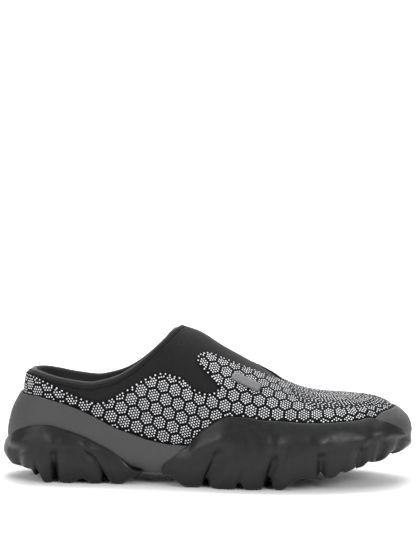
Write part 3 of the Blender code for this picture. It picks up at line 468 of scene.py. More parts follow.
# Studio: width of the view at the shoe and its middle, then the sheets and the lights
VIEW_WIDTH = 0.3050
VIEW_CENTRE = (0.001, 0.0, 0.1479)
WORLD_LIGHT = 0.4
STUDIO_SHEETS = (
    # name, corners
    ("studio_floor", ((-4, -3, 0), (4, -3, 0), (4, 3, 0), (-4, 3, 0))),
    ("studio_backdrop", ((-4, 3, 0), (4, 3, 0), (4, 3, 4), (-4, 3, 4))),
)
LIGHTS = (
    # name, place, aim, size, power
    ("overhead", (-0.1, 0.15, 1.5), (0.0, 0.0, 0.0), 1.5, 8.5),
    ("left_fill", (-1.5, -1.6, 1.1), (0.0, 0.0, 0.03), 0.9, 20.0),
    ("right_fill", (1.3, -1.7, 1.1), (0.0, 0.0, 0.03), 0.9, 25.0),
    ("backdrop_light", (0.0, 1.2, 2.6), (0.0, 3.0, 0.6), 2.2, 115.0),
)
# The bars of the tread fan out past these places, by the length
HEEL_PIVOT = 0.100
TOE_PIVOT = 0.868
BAR_SPREAD = 0.25
# Top edge of the mesh layer: x by length, height by the girth from rim to collar
MESH_EDGE = (
    # x, girth
    (0.050, 0.870),
    (0.076, 0.880),
    (0.110, 0.800),
    (0.129, 0.745),
    (0.153, 0.650),
    (0.178, 0.545),
    (0.201, 0.492),
    (0.239, 0.450),
    (0.259, 0.499),
    (0.280, 0.592),
    (0.317, 0.740),
    (0.345, 0.795),
    (0.372, 0.800),
    (0.391, 0.778),
    (0.411, 0.728),
    (0.433, 0.612),
    (0.452, 0.535),
    (0.473, 0.498),
    (0.495, 0.447),
    (0.513, 0.375),
    (0.529, 0.315),
    (0.540, 0.350),
    (0.537, 0.400),
    (0.517, 0.488),
    (0.503, 0.568),
    (0.488, 0.632),
    (0.489, 0.680),
    (0.503, 0.705),
    (0.522, 0.695),
    (0.553, 0.703),
    (0.600, 0.745),
    (0.645, 0.840),
    (0.672, 0.940),
    (0.686, 1.000),
)
# Middle of the side tab, by length and by girth from rim to crest
TAB_AT = (0.607, 0.505)
# Its corners' rounding by its width, points round it, and the section of its bevelled edge
TAB_CORNER = 0.42
TAB_TURNS = 96
TAB_RINGS = (
    # inset and rise by the thickness
    (0.1, 0.0),
    (0.0, 0.1),
    (0.0, 0.45),
    (0.08, 0.72),
    (0.3, 0.92),
    (0.65, 1.0),
    (1.6, 1.0),
)
# Rows of the upper's wall and dome, then points of its rounded collar edge and that edge's
# height by the wall
WALL_ROWS = 6
DOME_ROWS = 30
LIP_POINTS = 5
LIP_SHARE = 0.3
# Rows of a lug's side between its foot and its top: share of the way, share of the cut
SIDE_LEVELS = ((0.0, 1.0), (0.4, 1.0), (0.8, 0.8), (1.0, 0.0))


def curve(rows, column, at):
    """Smooth curve through one column of a table, which never overshoots its rows."""
    xs = [row[0] for row in rows]
    ys = [row[column] for row in rows]
    if at <= xs[0]:
        return ys[0]
    if at >= xs[-1]:
        return ys[-1]

    def secant(k):
        return (ys[k + 1] - ys[k]) / (xs[k + 1] - xs[k])

    def slope(k):
        if k == 0:
            return secant(0)
        if k == len(xs) - 1:
            return secant(k - 1)
        before, after = secant(k - 1), secant(k)
        if before * after <= 0:
            return 0.0
        return 2 * before * after / (before + after)

    i = bisect_right(xs, at) - 1
    run = xs[i + 1] - xs[i]
    s = (at - xs[i]) / run
    rise = ys[i] * (1 + 2 * s) * (1 - s) ** 2 + ys[i + 1] * s * s * (3 - 2 * s)
    return rise + run * (slope(i) * s * (1 - s) ** 2 - slope(i + 1) * s * s * (1 - s))


def ease(share):
    """Smooth step from 0 to 1."""
    s = min(max(share, 0.0), 1.0)
    return s * s * (3 - 2 * s)


def mix(low, high, share):
    """Value at this share of the way from low to high."""
    return low + (high - low) * share


def half_width(x, side):
    """Half width of the form at its widest level."""
    at = x / LENGTH
    local = mix(HEEL_WIDTH, BALL_WIDTH, ease((at - BLEND[0]) / (BLEND[1] - BLEND[0])))
    return local * curve(WIDTHS, 1 if side == LATERAL else 2, at)


def fan_share(share):
    """How far the spine has come, at this share of the turn round heel or toe."""
    return SPINE_SPREAD * share + (1 - SPINE_SPREAD) * share**4


def plan(u, side):
    """Outline of the form at a station: its point, its outward direction, its spine x."""
    if u < HEEL_FAN:
        turn = math.acos(1 - max(u, 0.0) / HEEL_FAN)
        reach = HEEL_FAN - BACK
        half = half_width(HEEL_FAN, side)
        x = HEEL_FAN - reach * math.cos(turn)
        y = half * math.sin(turn)
        run, spread = reach * math.sin(turn), half * math.cos(turn)
        spine = HEEL_FAN - reach * SPINE_REACH * (1 - fan_share(turn / QUARTER))
    elif u > TOE_FAN:
        turn = math.asin(min((u - TOE_FAN) / (LENGTH - TOE_FAN), 1.0))
        reach = TIP - TOE_FAN
        half = half_width(TOE_FAN, side)
        x = TOE_FAN + reach * math.sin(turn)
        across = max(math.cos(turn), TINY)
        y = half * across**TOE_SQUARE
        run = reach * across
        spread = -TOE_SQUARE * half * across ** (TOE_SQUARE - 1) * math.sin(turn)
        spine = TOE_FAN + reach * SPINE_REACH * (1 - fan_share(1 - turn / QUARTER))
    else:
        x = spine = u
        y = half_width(u, side)
        run = 2 * STEP
        spread = half_width(u + STEP, side) - half_width(u - STEP, side)
    if u < TINY or u > LENGTH - TINY:
        y, run = 0.0, 0.0
    size = math.hypot(run, spread)
    return x, side * y, -spread / size, side * run / size, spine


def station_at(x):
    """Station whose outline point lies at x."""
    if x < HEEL_FAN:
        return HEEL_FAN * max(0.0, 1 - (HEEL_FAN - x) / (HEEL_FAN - BACK))
    if x > TOE_FAN:
        return TOE_FAN + (LENGTH - TOE_FAN) * min(1.0, (x - TOE_FAN) / (TIP - TOE_FAN))
    return x


def ridge(x):
    """Height of the form's centre line."""
    return mix(TOE_HEIGHT, INSTEP_HEIGHT, curve(RIDGE, 1, x / LENGTH))


def crown(spine, out):
    """Height of the form's centre line at a place of the spine, moved outwards."""
    lean = (ridge(spine + STEP) - ridge(spine - STEP)) / (2 * STEP)
    return ridge(spine) + out * math.hypot(1, lean)


def widest(x):
    """Height of the form's widest level."""
    return TOE_HEIGHT * curve(SECTIONS, 1, x / LENGTH)


def bed(x):
    """Height of the footbed."""
    return BED_HEIGHT * curve(BED, 1, x / LENGTH)


def feather(x):
    """Height of the upper's lower edge, just clear of the footbed."""
    return bed(x) + FIT


def form(u, side, v, out=0.0):
    """Point of the upper's form at station u and girth v, moved outwards."""
    x, y, nx, ny, spine = plan(u, side)
    level = widest(x)
    if v <= 0:
        reach = out - FEATHER_TUCK * v * v
        return Vector((x + nx * reach, y + ny * reach, level + v * (level - feather(x))))
    square = curve(SECTIONS, 2, x / LENGTH)
    turn = min(v, QUARTER)
    across = max(math.cos(turn), 0.0) ** (2 / square)
    if turn > QUARTER - TINY:
        across = 0.0
    return Vector((
        spine + across * (x + nx * out - spine),
        across * (y + ny * out),
        level + (crown(spine, out) - level) * math.sin(turn),
    ))


def girth_at(u, z, out=0.0):
    """Girth of the form's point at height z of a station."""
    x, _, _, _, spine = plan(u, LATERAL)
    level = widest(x)
    if z <= level:
        return (z - level) / (level - feather(x))
    return math.asin(min((z - level) / (crown(spine, out) - level), 1.0))


def collar(x):
    """Height of the collar edge."""
    top = HEEL_HEIGHT if x < DIP_AT * LENGTH else INSTEP_HEIGHT
    return mix(COLLAR_DIP, top, curve(COLLAR, 1, x / LENGTH))


THROAT = COLLAR[-1][0] * LENGTH


def collar_girth(u):
    """Girth of the collar edge at a station, or of the centre line past the throat."""
    if u > THROAT - TINY:
        return QUARTER
    low, high = 0.0, QUARTER
    for _ in range(40):
        middle = (low + high) / 2
        point = form(u, LATERAL, middle)
        if point.z < collar(point.x):
            low = middle
        else:
            high = middle
    return (low + high) / 2


def rim(x):
    """Height of the foam's upper edge."""
    return CUP_HEIGHT * curve(RIM, 1, x / LENGTH)


def lift(x):
    """Height of the tread's base line over the floor."""
    return TOE_SPRING * curve(LIFT, 1, x / LENGTH)


def foam_under(x):
    """Height of the foam's underside."""
    return lift(x) + SLAB * curve(FOAM_UNDER, 1, x / LENGTH)


def swing(x):
    """Sideways bend of the shoe towards the wearer's inside, from the waist forward."""
    return SWING * (max(0.0, x / LENGTH - SWING_FROM) / (1 - SWING_FROM)) ** 2


def reach_of(side):
    """How far the rubber reaches to one side, over the whole sole."""
    stations = [LENGTH * k / 60 for k in range(61)]
    return max(
        side * (plan(u, side)[1] + swing(u)) + SOLE_FLARE * curve(RUBBER_SIDE, 2, u / LENGTH)
        for u in stations
    )


MIDDLE = (reach_of(MEDIAL) - reach_of(LATERAL)) / 2


def place(point):
    """Shoe axes to the part's own: the sole line bent, the origin under the centre."""
    x, y, z = point
    return Vector((x - LENGTH / 2, y + swing(x) - MIDDLE, z))


def fan_stations(count, heel):
    """Stations at even turns round the heel or the toe."""
    turns = [QUARTER * k / count for k in range(count + 1)]
    if heel:
        return [HEEL_FAN * (1 - math.cos(turn)) for turn in turns]
    return [TOE_FAN + (LENGTH - TOE_FAN) * math.sin(turn) for turn in turns]


def even(start, end, count):
    """Places that split the way from start to end into a count of equal spaces."""
    return [mix(start, end, k / count) for k in range(count + 1)]


def skin(first, stations, size):
    """Triangles of a skin with a column of points at each station, from the first index.

    Their diagonals turn at the waist and halfway up, so none folds flat at heel or toe.
    """
    faces = []
    for i in range(len(stations) - 1):
        for k in range(size - 1):
            a = first + i * size + k
            if (stations[i] < FOAM_STEPS[1] * LENGTH) == (k < size // 2):
                faces.append((a, a + 1, a + size + 1))
                faces.append((a, a + size + 1, a + size))
            else:
                faces.append((a, a + 1, a + size))
                faces.append((a + 1, a + size + 1, a + size))
    return faces


def weld_halves(stations, profile):
    """Points and faces of a solid whose lateral and medial halves meet on the middle line.

    The profile gives the same run of points at every station of a side, from the middle
    line below to the middle line above.
    """
    points, faces = [], []
    for side in SIDES:
        sections = [profile(u, side) for u in stations]
        faces.extend(skin(len(points), stations, len(sections[0])))
        points.extend(point for section in sections for point in section)
    return points, faces


def upper_rows(u):
    """Girths of the upper's rows at a station, from the feather edge to the top."""
    top = collar_girth(u)
    wall = [-1 + k / WALL_ROWS for k in range(WALL_ROWS)]
    return wall + [top * k / DOME_ROWS for k in range(DOME_ROWS + 1)]


def collar_loop():
    """Stations and sides round the collar: down the outside, round the heel and back."""
    rear = [u for u in upper_stations() if u < THROAT + TINY]
    return [(u, LATERAL) for u in reversed(rear)] + [(u, MEDIAL) for u in rear[1:-1]]


def outward_normal(u, side, v):
    """Direction straight out of the form at a station and girth."""
    if u < STEP:
        along = form(STEP, MEDIAL, v) - form(STEP, LATERAL, v)
    else:
        along = form(u + STEP, side, v) - form(u - STEP, side, v)
    here = form(u, side, v)
    normal = along.cross(here - form(u, side, v - 0.01)).normalized()
    x, _, _, _, spine = plan(u, side)
    core = Vector((spine, 0.0, widest(x)))
    return normal if normal.dot(here - core) > 0 else -normal


def collar_frames():
    """For each place round the collar: its point, and directions inward and beyond the edge."""
    loop = collar_loop()
    edge = [form(u, side, collar_girth(u)) for u, side in loop]
    frames = {}
    for i, (u, side) in enumerate(loop):
        along = (edge[(i + 1) % len(loop)] - edge[i - 1]).normalized()
        outward = outward_normal(u, side, collar_girth(u))
        outward = (outward - along * outward.dot(along)).normalized()
        frames[(u, side)] = (edge[i], -outward, along.cross(outward))
    frames[(loop[0][0], MEDIAL)] = frames[loop[0]]
    frames[(0.0, MEDIAL)] = frames[(0.0, LATERAL)]
    return frames


def slide(u, side, v, move):
    """Station and girth reached from a point of the form by a short move along it."""
    start = form(u, side, v)
    step = 1e-3
    for _ in range(3):
        here = form(u, side, v)
        along = (form(u + step * LENGTH, side, v) - here) / step
        upward = (here - form(u, side, v - step)) / step
        left = start + move - here
        aa, ab, bb = along.dot(along), along.dot(upward), upward.dot(upward)
        det = max(aa * bb - ab * ab, 1e-12)
        da = (bb * left.dot(along) - ab * left.dot(upward)) / det
        db = (aa * left.dot(upward) - ab * left.dot(along)) / det
        u, v = u + da * LENGTH, min(v + db, QUARTER)
    return u, v


def spline(rows, spacing):
    """Smooth curve through places of two columns, with a point about every spacing."""
    made = []
    for i in range(len(rows) - 1):
        a, b = rows[max(i - 1, 0)], rows[i]
        c, d = rows[i + 1], rows[min(i + 2, len(rows) - 1)]
        steps = max(1, round(math.dist(b, c) / spacing))
        for k in range(steps):
            s = k / steps
            made.append(tuple(
                0.5 * (2 * b[n] + (c[n] - a[n]) * s + (2 * a[n] - 5 * b[n] + 4 * c[n] - d[n]) * s**2
                       + (3 * b[n] - a[n] - 3 * c[n] + d[n]) * s**3)
                for n in (0, 1)
            ))
    return made + [tuple(rows[-1])]


def mesh_edge(flat, unflat):
    """The mesh layer's top edge, from the heel to the centre line, as stations and girths."""
    rows = []
    for x, share in MESH_EDGE:
        u = station_at(x * LENGTH)
        low = girth_at(u, rim(plan(u, LATERAL)[0]))
        rows.append(tuple(flat(u, mix(low, collar_girth(u), share))))
    edge = [unflat(*point) for point in spline(rows, LENGTH / 160)]
    edge[0] = (0.0, edge[0][1])
    edge[-1] = (edge[-1][0], QUARTER)
    return edge


def flat_map():
    """Functions from station and girth to a flat drawing of the form, and back."""
    count = 200
    places = [LENGTH * k / count for k in range(count + 1)]
    run = [0.0]
    for k in range(count):
        steps = [
            math.dist(plan(places[k], side)[:2], plan(places[k + 1], side)[:2])
            for side in SIDES
        ]
        run.append(run[-1] + sum(steps) / 2)

    def height(v):
        return INSTEP_HEIGHT / 2 if v > 0 else TOE_HEIGHT / 3

    def flat(u, v):
        return Vector((float(np.interp(u, places, run)), v * height(v)))

    def unflat(x, y):
        return float(np.interp(x, run, places)), y / height(y)

    return flat, unflat


def inside(point, outline):
    """Whether a flat point lies inside a closed outline."""
    within = False
    for a, b in zip(outline, outline[1:] + outline[:1]):
        if (a.y > point.y) != (b.y > point.y):
            if point.x < a.x + (b.x - a.x) * (point.y - a.y) / (b.y - a.y):
                within = not within
    return within


def edge_distance(point, outline):
    """Distance from a flat point to a closed outline."""
    best = LENGTH
    for a, b in zip(outline, outline[1:] + outline[:1]):
        along = b - a
        s = min(max((point - a).dot(along) / max(along.length_squared, 1e-12), 0.0), 1.0)
        best = min(best, (point - a - along * s).length)
    return best


def mesh_panel():
    """Places and triangles of one half of the mesh layer, and its outline's edges."""
    stations = upper_stations()
    flat, unflat = flat_map()
    edge = mesh_edge(flat, unflat)
    front = edge[-1][0]
    bottom = []
    for u in stations:
        x = plan(u, LATERAL)[0]
        bottom.append((u, girth_at(u, max(rim(x) - MESH_TUCK, bed(x) + 4 * FIT))))
    toe_rows = [v for v in upper_rows(LENGTH) if v > bottom[-1][1] + CORNER_GIRTH][:-1]
    toe = [(LENGTH, v) for v in toe_rows]
    crest = [(u, QUARTER) for u in reversed(stations) if u > front + LENGTH / 400]
    low, high = bottom[0][1] + CORNER_GIRTH, edge[0][1] - CORNER_GIRTH
    heel = [(0.0, v) for v in reversed(upper_rows(0.0)) if low < v < high]
    outline = bottom + toe + crest + edge[::-1] + heel
    border = [flat(u, v) for u, v in outline]
    places = list(outline)
    for u in stations[1:-1]:
        for v in upper_rows(u):
            point = flat(u, v)
            if inside(point, border) and edge_distance(point, border) > LENGTH / 500:
                places.append((u, v))
    ring = [(k, (k + 1) % len(outline)) for k in range(len(outline))]
    toe_corner = len(bottom) + len(toe)
    below = (stations[-2], upper_rows(stations[-2])[-2])
    ring.append((toe_corner, places.index(below)))
    _, _, triangles, origins, _, _ = delaunay_2d_cdt(
        [flat(u, v) for u, v in places], ring, [], 1, LENGTH * 1e-6
    )
    kept = [tuple(origins[k][0] for k in triangle) for triangle in triangles]
    return places, kept, len(outline)


def seam_height(x):
    """Height of the rubber's top edge, or nothing between the two pods."""
    at = x / LENGTH
    if at <= HEEL_SEAM[-1][0]:
        return HEEL_WRAP * curve(HEEL_SEAM, 1, at)
    if at >= FOREFOOT_SEAM[0][0]:
        return FOREFOOT_WRAP * curve(FOREFOOT_SEAM, 1, at)
    return 0.0


CUP_FIT = LAYER_FIT + MESH_WALL + FIT


def sole_point(u, side, z, out):
    """Point of the sole's side: outwards from the form at this height."""
    x, y, nx, ny, _ = plan(u, side)
    girth = max(girth_at(u, z), 0.0)
    base = form(u, side, girth) if girth > 0 else Vector((x, y, z))
    return Vector((base.x + nx * out, base.y + ny * out, z))


def cup_out(u, z):
    """How far the mesh and its clearance stand out of the form at height z, level."""
    base = sole_point(u, LATERAL, z, 0.0)
    over = form(u, LATERAL, girth_at(u, z, CUP_FIT), CUP_FIT)
    return math.hypot(over.x - base.x, over.y - base.y)


def foam_side(u):
    """Side of the foam at a station: heights and how far each stands out of the form."""
    x = plan(u, LATERAL)[0]
    at = u / LENGTH
    under = foam_under(x)
    top = rim(x)
    hidden = ease((seam_height(u) - top) / (4 * RUBBER_EDGE))
    wall = RIM_WALL * (1 - hidden / 2)
    foot = SOLE_FLARE * curve(FOAM_SIDE, 1, at)
    belly = SOLE_FLARE * curve(FOAM_SIDE, 2, at)
    belly_height = CUP_HEIGHT * curve(FOAM_SIDE, 3, at)
    edge = cup_out(u, top) + wall
    shoulder = mix(belly_height, top, 0.55)
    return (
        (under, -CHAMFER),
        (under + CHAMFER, foot),
        (belly_height, belly),
        (shoulder, mix(edge, belly, math.cos(0.55 * QUARTER))),
        (top - wall / 3, edge),
    )


def bar(u, side, out, recess=0.0):
    """Three places across the sole's underside at a station: middle line, halfway, edge.

    Bars run straight across the sole, and fan out past the pivots at heel and toe. A
    recess moves the edge only.
    """
    edges = {one: sole_point(u, one, 0.0, out) for one in SIDES}
    x = (edges[LATERAL].x + edges[MEDIAL].x) / 2
    pivot = min(max(x, HEEL_PIVOT * LENGTH), TOE_PIVOT * LENGTH)
    middle = pivot + (x - pivot) * BAR_SPREAD
    halfway = (mix(middle, edges[side].x, 0.55), edges[side].y * 0.55)
    edge = sole_point(u, side, 0.0, out - recess)
    return (middle, 0.0), halfway, (edge.x, edge.y)


def inner_top(u):
    """How far out the rubber's top edge starts: on the foam, or past its rim on the mesh."""
    seam = seam_height(u)
    cup_top = rim(plan(u, LATERAL)[0])
    over = foam_out(u, min(seam, cup_top)) + FIT
    on_mesh = cup_out(u, max(seam, cup_top))
    return mix(over, on_mesh, ease((seam - cup_top) / RUBBER_EDGE - 1))


def rubber_out(u, z, low, top, wrap_top, recess=0.0):
    """How far the rubber's side stands out between its foot at low and its top edge."""
    at = u / LENGTH
    on_foam = z < rim(plan(u, LATERAL)[0])
    least = (foam_out(u, z) + FIT if on_foam else cup_out(u, z)) + RUBBER_EDGE
    edge = SOLE_FLARE * curve(RUBBER_SIDE, 1, at)
    belly = SOLE_FLARE * curve(RUBBER_SIDE, 2, at)
    height = min(CUP_HEIGHT * curve(RUBBER_SIDE, 3, at), mix(low, top, 0.6))
    if z < height:
        share = (z - low) / (height - low)
        out = mix(edge, belly, math.sin(QUARTER * max(share, 0.0)))
    else:
        share = (z - height) / (top - height)
        out = mix(wrap_top, max(belly, wrap_top), math.cos(QUARTER * min(share, 1.0)))
    return max(out - recess, least)


def upper_stations():
    """Stations of the upper, closer together towards the throat."""
    heel, rear, front, toe = UPPER_SPACES
    back = [THROAT - (THROAT - HEEL_FAN) * (1 - k / rear) ** 1.6 for k in range(rear)]
    vamp = even(THROAT, TOE_FAN, front)[:-1]
    return fan_stations(heel, True)[:-1] + back + vamp + fan_stations(toe, False)


def sole_stations():
    """Stations of the midsole and insole, with one at each step of the foam's underside."""
    places = [HEEL_FAN, *(LENGTH * share for share in FOAM_STEPS), TOE_FAN]
    made = fan_stations(SOLE_SPACES[0], True)[:-1]
    for start, end, count in zip(places, places[1:], SOLE_SPACES[1:]):
        made += even(start, end, count)[:-1]
    return made + fan_stations(SOLE_SPACES[-1], False)


def softened(points, times):
    """A run of points with its corners cut, its two ends kept."""
    for _ in range(times):
        cut = [points[0]]
        for a, b in zip(points, points[1:]):
            cut.append(a.lerp(b, 0.25))
            cut.append(a.lerp(b, 0.75))
        points = cut[:1] + cut[2:-2] + [cut[-2], points[-1]]
    return points


def new_piece(name, points, faces, node, sharp=50, maps=None):
    """A closed smooth piece in the part's own axes, on its body, that replaces a node.

    maps gives the cloth map's place of each point, and is read by the piece's material.
    """
    mesh = bpy.data.meshes.new(name)
    mesh.from_pydata([place(point) for point in points], [], faces)
    if maps:
        layer = mesh.uv_layers.new(name="cloth")
        loops = np.zeros(len(mesh.loops), dtype=np.int32)
        mesh.loops.foreach_get("vertex_index", loops)
        layer.data.foreach_set("uv", np.array(maps, dtype=np.float32)[loops].ravel())
    bm = bmesh.new()
    bm.from_mesh(mesh)
    bmesh.ops.remove_doubles(bm, verts=bm.verts[:], dist=WELD)
    bmesh.ops.dissolve_degenerate(bm, edges=bm.edges[:], dist=WELD / 2)
    bmesh.ops.recalc_face_normals(bm, faces=bm.faces[:])
    if bm.calc_volume(signed=True) < 0:
        bmesh.ops.reverse_faces(bm, faces=bm.faces[:])
    bm.to_mesh(mesh)
    bm.free()
    mesh.shade_smooth()
    mesh.set_sharp_from_angle(angle=math.radians(sharp))
    piece = bpy.data.objects.new(name, mesh)
    bpy.context.collection.objects.link(piece)
    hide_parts(node)
    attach(piece, "root")
    return piece


def build_upper():
    """The stretch-cloth upper: one wall with a soft rounded edge at the collar."""
    stations = upper_stations()
    frames = collar_frames()
    throat = min(range(len(stations)), key=lambda i: abs(stations[i] - THROAT))
    rows = WALL_ROWS + DOME_ROWS + 1
    points, faces, gaps = [], [], []
    edges = KDTree(len(frames))
    for k, (edge, _, _) in enumerate(frames.values()):
        edges.insert(edge, k)
    edges.balance()

    def add_skin(side, out):
        start = len(points)
        for u in stations:
            girths = upper_rows(u)
            column = [form(u, side, v, out) for v in girths]
            points.extend(column)
            # Cloth map: each point's distance from the collar edge, which places the pressed line and
            # the painted shade in it
            gaps.extend((edges.find(point)[2], 0.0) for point in column)
        for i in range(len(stations) - 1):
            for k in range(rows - 1):
                a = start + i * rows + k
                faces.append((a, a + 1, a + rows + 1, a + rows))
        return start

    for side in SIDES:
        outer = add_skin(side, 0.0)
        inner = add_skin(side, -UPPER_WALL)
        lip = len(points)
        for u in stations[:throat + 1]:
            edge, inward, beyond = frames[(u, side)]
            for k in range(LIP_POINTS):
                turn = math.pi * (k + 1) / (LIP_POINTS + 1)
                across = UPPER_WALL * (1 - math.cos(turn)) / 2
                height = UPPER_WALL * LIP_SHARE * math.sin(turn)
                points.append(edge + inward * across + beyond * height)
                gaps.append((0.0, 0.0))
        for i in range(len(stations) - 1):
            a, b = outer + i * rows, inner + i * rows
            faces.append((a, a + rows, b + rows, b))
            if i < throat:
                ahead = [a + 2 * rows - 1]
                here = [a + rows - 1]
                for k in range(LIP_POINTS):
                    here.append(lip + i * LIP_POINTS + k)
                    ahead.append(lip + (i + 1) * LIP_POINTS + k)
                here.append(b + rows - 1)
                ahead.append(b + 2 * rows - 1)
                for k in range(len(here) - 1):
                    faces.append((here[k], ahead[k], ahead[k + 1], here[k + 1]))
    return new_piece("stretch_upper", points, faces, "upper", maps=gaps)


def build_collar_lining():
    """The soft lining's edge: a band inside the collar, rolled over above it."""
    frames = collar_frames()
    outside = UPPER_WALL + LINING_FIT
    inside_out = outside + LINING_WALL
    middle = outside + LINING_WALL / 2
    loop = collar_loop()
    points, faces, maps = [], [], []
    run = 0.0
    before = None
    for u, side in loop:
        edge, inward, beyond = frames[(u, side)]
        top = collar_girth(u)
        slid = [slide(u, side, top, beyond * -LINING_DEPTH * share) for share in LINING_ROWS]
        column = [form(s, side, v, -outside) for s, v in slid]
        for turn in ROLL_TURNS:
            inset = middle - ROLL_RADIUS * math.cos(math.radians(turn))
            height = ROLL_RADIUS * (1.05 + math.sin(math.radians(turn)))
            column.append(edge + inward * inset + beyond * height)
        column.extend(form(s, side, v, -inside_out) for s, v in reversed(slid[:-1]))
        if before is not None:
            run += (edge - before).length
        before = edge
        points.extend(column)
        maps.extend((run, k * ROLL_RADIUS / 3) for k in range(len(column)))
    size = len(column)
    for i in range(len(loop)):
        j = (i + 1) % len(loop)
        for k in range(size):
            n = (k + 1) % size
            faces.append((i * size + k, i * size + n, j * size + n, j * size + k))
    return new_piece("collar_lining", points, faces, "collar_roll", maps=maps)


def cloth_drawing(side):
    """Functions from station and girth to a flat drawing true to length, and back."""
    count, turns = 220, 72
    places = np.linspace(0.0, LENGTH, count + 1)
    girths = np.linspace(0.0, QUARTER, turns + 1)
    run, arcs, below = [0.0], [], []
    for k, u in enumerate(places):
        column = [form(u, side, v) for v in girths]
        steps = [(b - a).length for a, b in zip(column, column[1:])]
        arcs.append(np.concatenate(([0.0], np.cumsum(steps))))
        below.append(widest(plan(u, side)[0]) - feather(plan(u, side)[0]))
        if k:
            step = math.dist(plan(places[k - 1], side)[:2], plan(u, side)[:2])
            run.append(run[-1] + step)
    arcs = np.array(arcs)

    def blend(u):
        at = min(max(u / LENGTH * count, 0.0), count - 1e-6)
        low = int(at)
        return arcs[low] * (1 - at + low) + arcs[low + 1] * (at - low)

    def drawn(u, v):
        if v < 0:
            return Vector((float(np.interp(u, places, run)), v * float(np.interp(u, places, below))))
        return Vector((float(np.interp(u, places, run)), float(np.interp(v, girths, blend(u)))))

    def folded(x, y):
        u = float(np.interp(x, run, places))
        if y < 0:
            return u, y / float(np.interp(u, places, below))
        return u, float(np.interp(y, blend(u), girths))

    return drawn, folded


def to_pattern(point):
    """Place in the mesh's honeycomb of a place in the flat drawing: it bends above the toe."""
    dx, dy = point[0] - BEND_AT, BEND_RADIUS - point[1]
    return BEND_RADIUS * math.atan2(dx, dy), BEND_RADIUS - math.hypot(dx, dy)


def from_pattern(along, up):
    """Place in the flat drawing of a place in the mesh's honeycomb."""
    turn = along / BEND_RADIUS
    radius = BEND_RADIUS - up
    return BEND_AT + radius * math.sin(turn), BEND_RADIUS - radius * math.cos(turn)


def build_mesh_layer():
    """The mesh over the upper, one taut closed sheet with a thinned cut edge."""
    places, triangles, rim_size = mesh_panel()
    points, faces, maps = [], [], []
    for side in SIDES:
        drawn, _ = cloth_drawing(side)
        pattern = [to_pattern(drawn(u, v)) for u, v in places]
        low = len(points)
        points.extend(form(u, side, v, LAYER_FIT) for u, v in places)
        high = len(points)
        for k, (u, v) in enumerate(places):
            wall = MESH_WALL * (0.6 if k < rim_size else 1.0)
            points.append(form(u, side, v, LAYER_FIT + wall))
        maps.extend(pattern + pattern)
        for a, b, c in triangles:
            faces.append((low + a, low + b, low + c))
            faces.append((high + c, high + b, high + a))
        for k in range(rim_size):
            n = (k + 1) % rim_size
            (u_a, v_a), (u_b, v_b) = places[k], places[n]
            if max(u_a, u_b) < TINY or min(u_a, u_b) > LENGTH - TINY:
                continue
            if min(v_a, v_b) > QUARTER - TINY:
                continue
            faces.append((low + k, low + n, high + n, high + k))
    return new_piece("mesh_layer", points, faces, "mesh_overlay", maps=maps)


def honeycomb_dots(cell, pitch):
    """Places of the dots in the honeycomb, cell after cell."""
    step_up = cell * SLANT
    for row in CELL_ROWS:
        for column in CELL_COLUMNS:
            centre = (column + 0.5 * (row % 2)) * cell
            for across, count in DOT_COLUMNS:
                for k in range(count):
                    along = centre + across * pitch * SLANT
                    up = row * step_up + (k - (count - 1) / 2) * pitch
                    yield along, up


def cell_dots(side, cell, pitch, edge, flat):
    """Stations, girths and points of the dots in the cells on one side, below the edge."""
    drawn, folded = cloth_drawing(side)
    front, rear = edge[-1].x, edge[0].x - REAR_MARGIN
    above = flat(0.0, 2 * QUARTER).y
    outline = edge + [Vector((front, above)), Vector((rear, above)), Vector((rear, edge[0].y))]
    least = pitch * DOT_LEAST
    made = []
    for along, up in honeycomb_dots(cell, pitch):
        x, y = from_pattern(along, up)
        u, v = folded(x, y)
        if not TINY < u < LENGTH - TINY or not DOTS_FROM <= v <= CELLS_TO:
            continue
        if (drawn(u, v) - Vector((x, y))).length > pitch / 4:
            continue
        point = form(u, side, v, LAYER_FIT + MESH_WALL)
        sole = max(rim(plan(u, side)[0]), seam_height(u))
        if point.z < sole + pitch * DOT_OVER_SOLE:
            continue
        spot = flat(u, v)
        if spot.x < front + FRONT_MARGIN and inside(spot, outline):
            continue
        if edge_distance(spot, edge) < BORDER_AT + pitch * DOT_UNDER_BORDER:
            continue
        if any(
            abs(other.x - point.x) < least and (other - point).length < least
            for _, _, other in made
        ):
            continue
        made.append((u, v, point))
    return made


def border_dots(side, pitch, edge, unflat):
    """Stations, girths and points of the row of dots along the mesh's edge."""
    made = []
    for a, b in zip(edge, edge[1:]):
        along = (b - a).normalized()
        u, v = unflat(*((a + b) / 2 + Vector((along.y, -along.x)) * BORDER_AT))
        if not TINY < u < LENGTH - TINY or v > BORDER_TO:
            continue
        point = form(u, side, v, LAYER_FIT + MESH_WALL)
        if not made or (point - made[-1][2]).length > pitch * BORDER_PITCH:
            made.append((u, v, point))
    return made


def dot_places(side, cell, pitch):
    """Places and outward directions of the mesh's dots on one side."""
    flat, unflat = flat_map()
    edge = [flat(u, v) for u, v in mesh_edge(flat, unflat)]
    dots = cell_dots(side, cell, pitch, edge, flat) + border_dots(side, pitch, edge, unflat)
    return [point for _, _, point in dots], [outward_normal(u, side, v) for u, v, _ in dots]


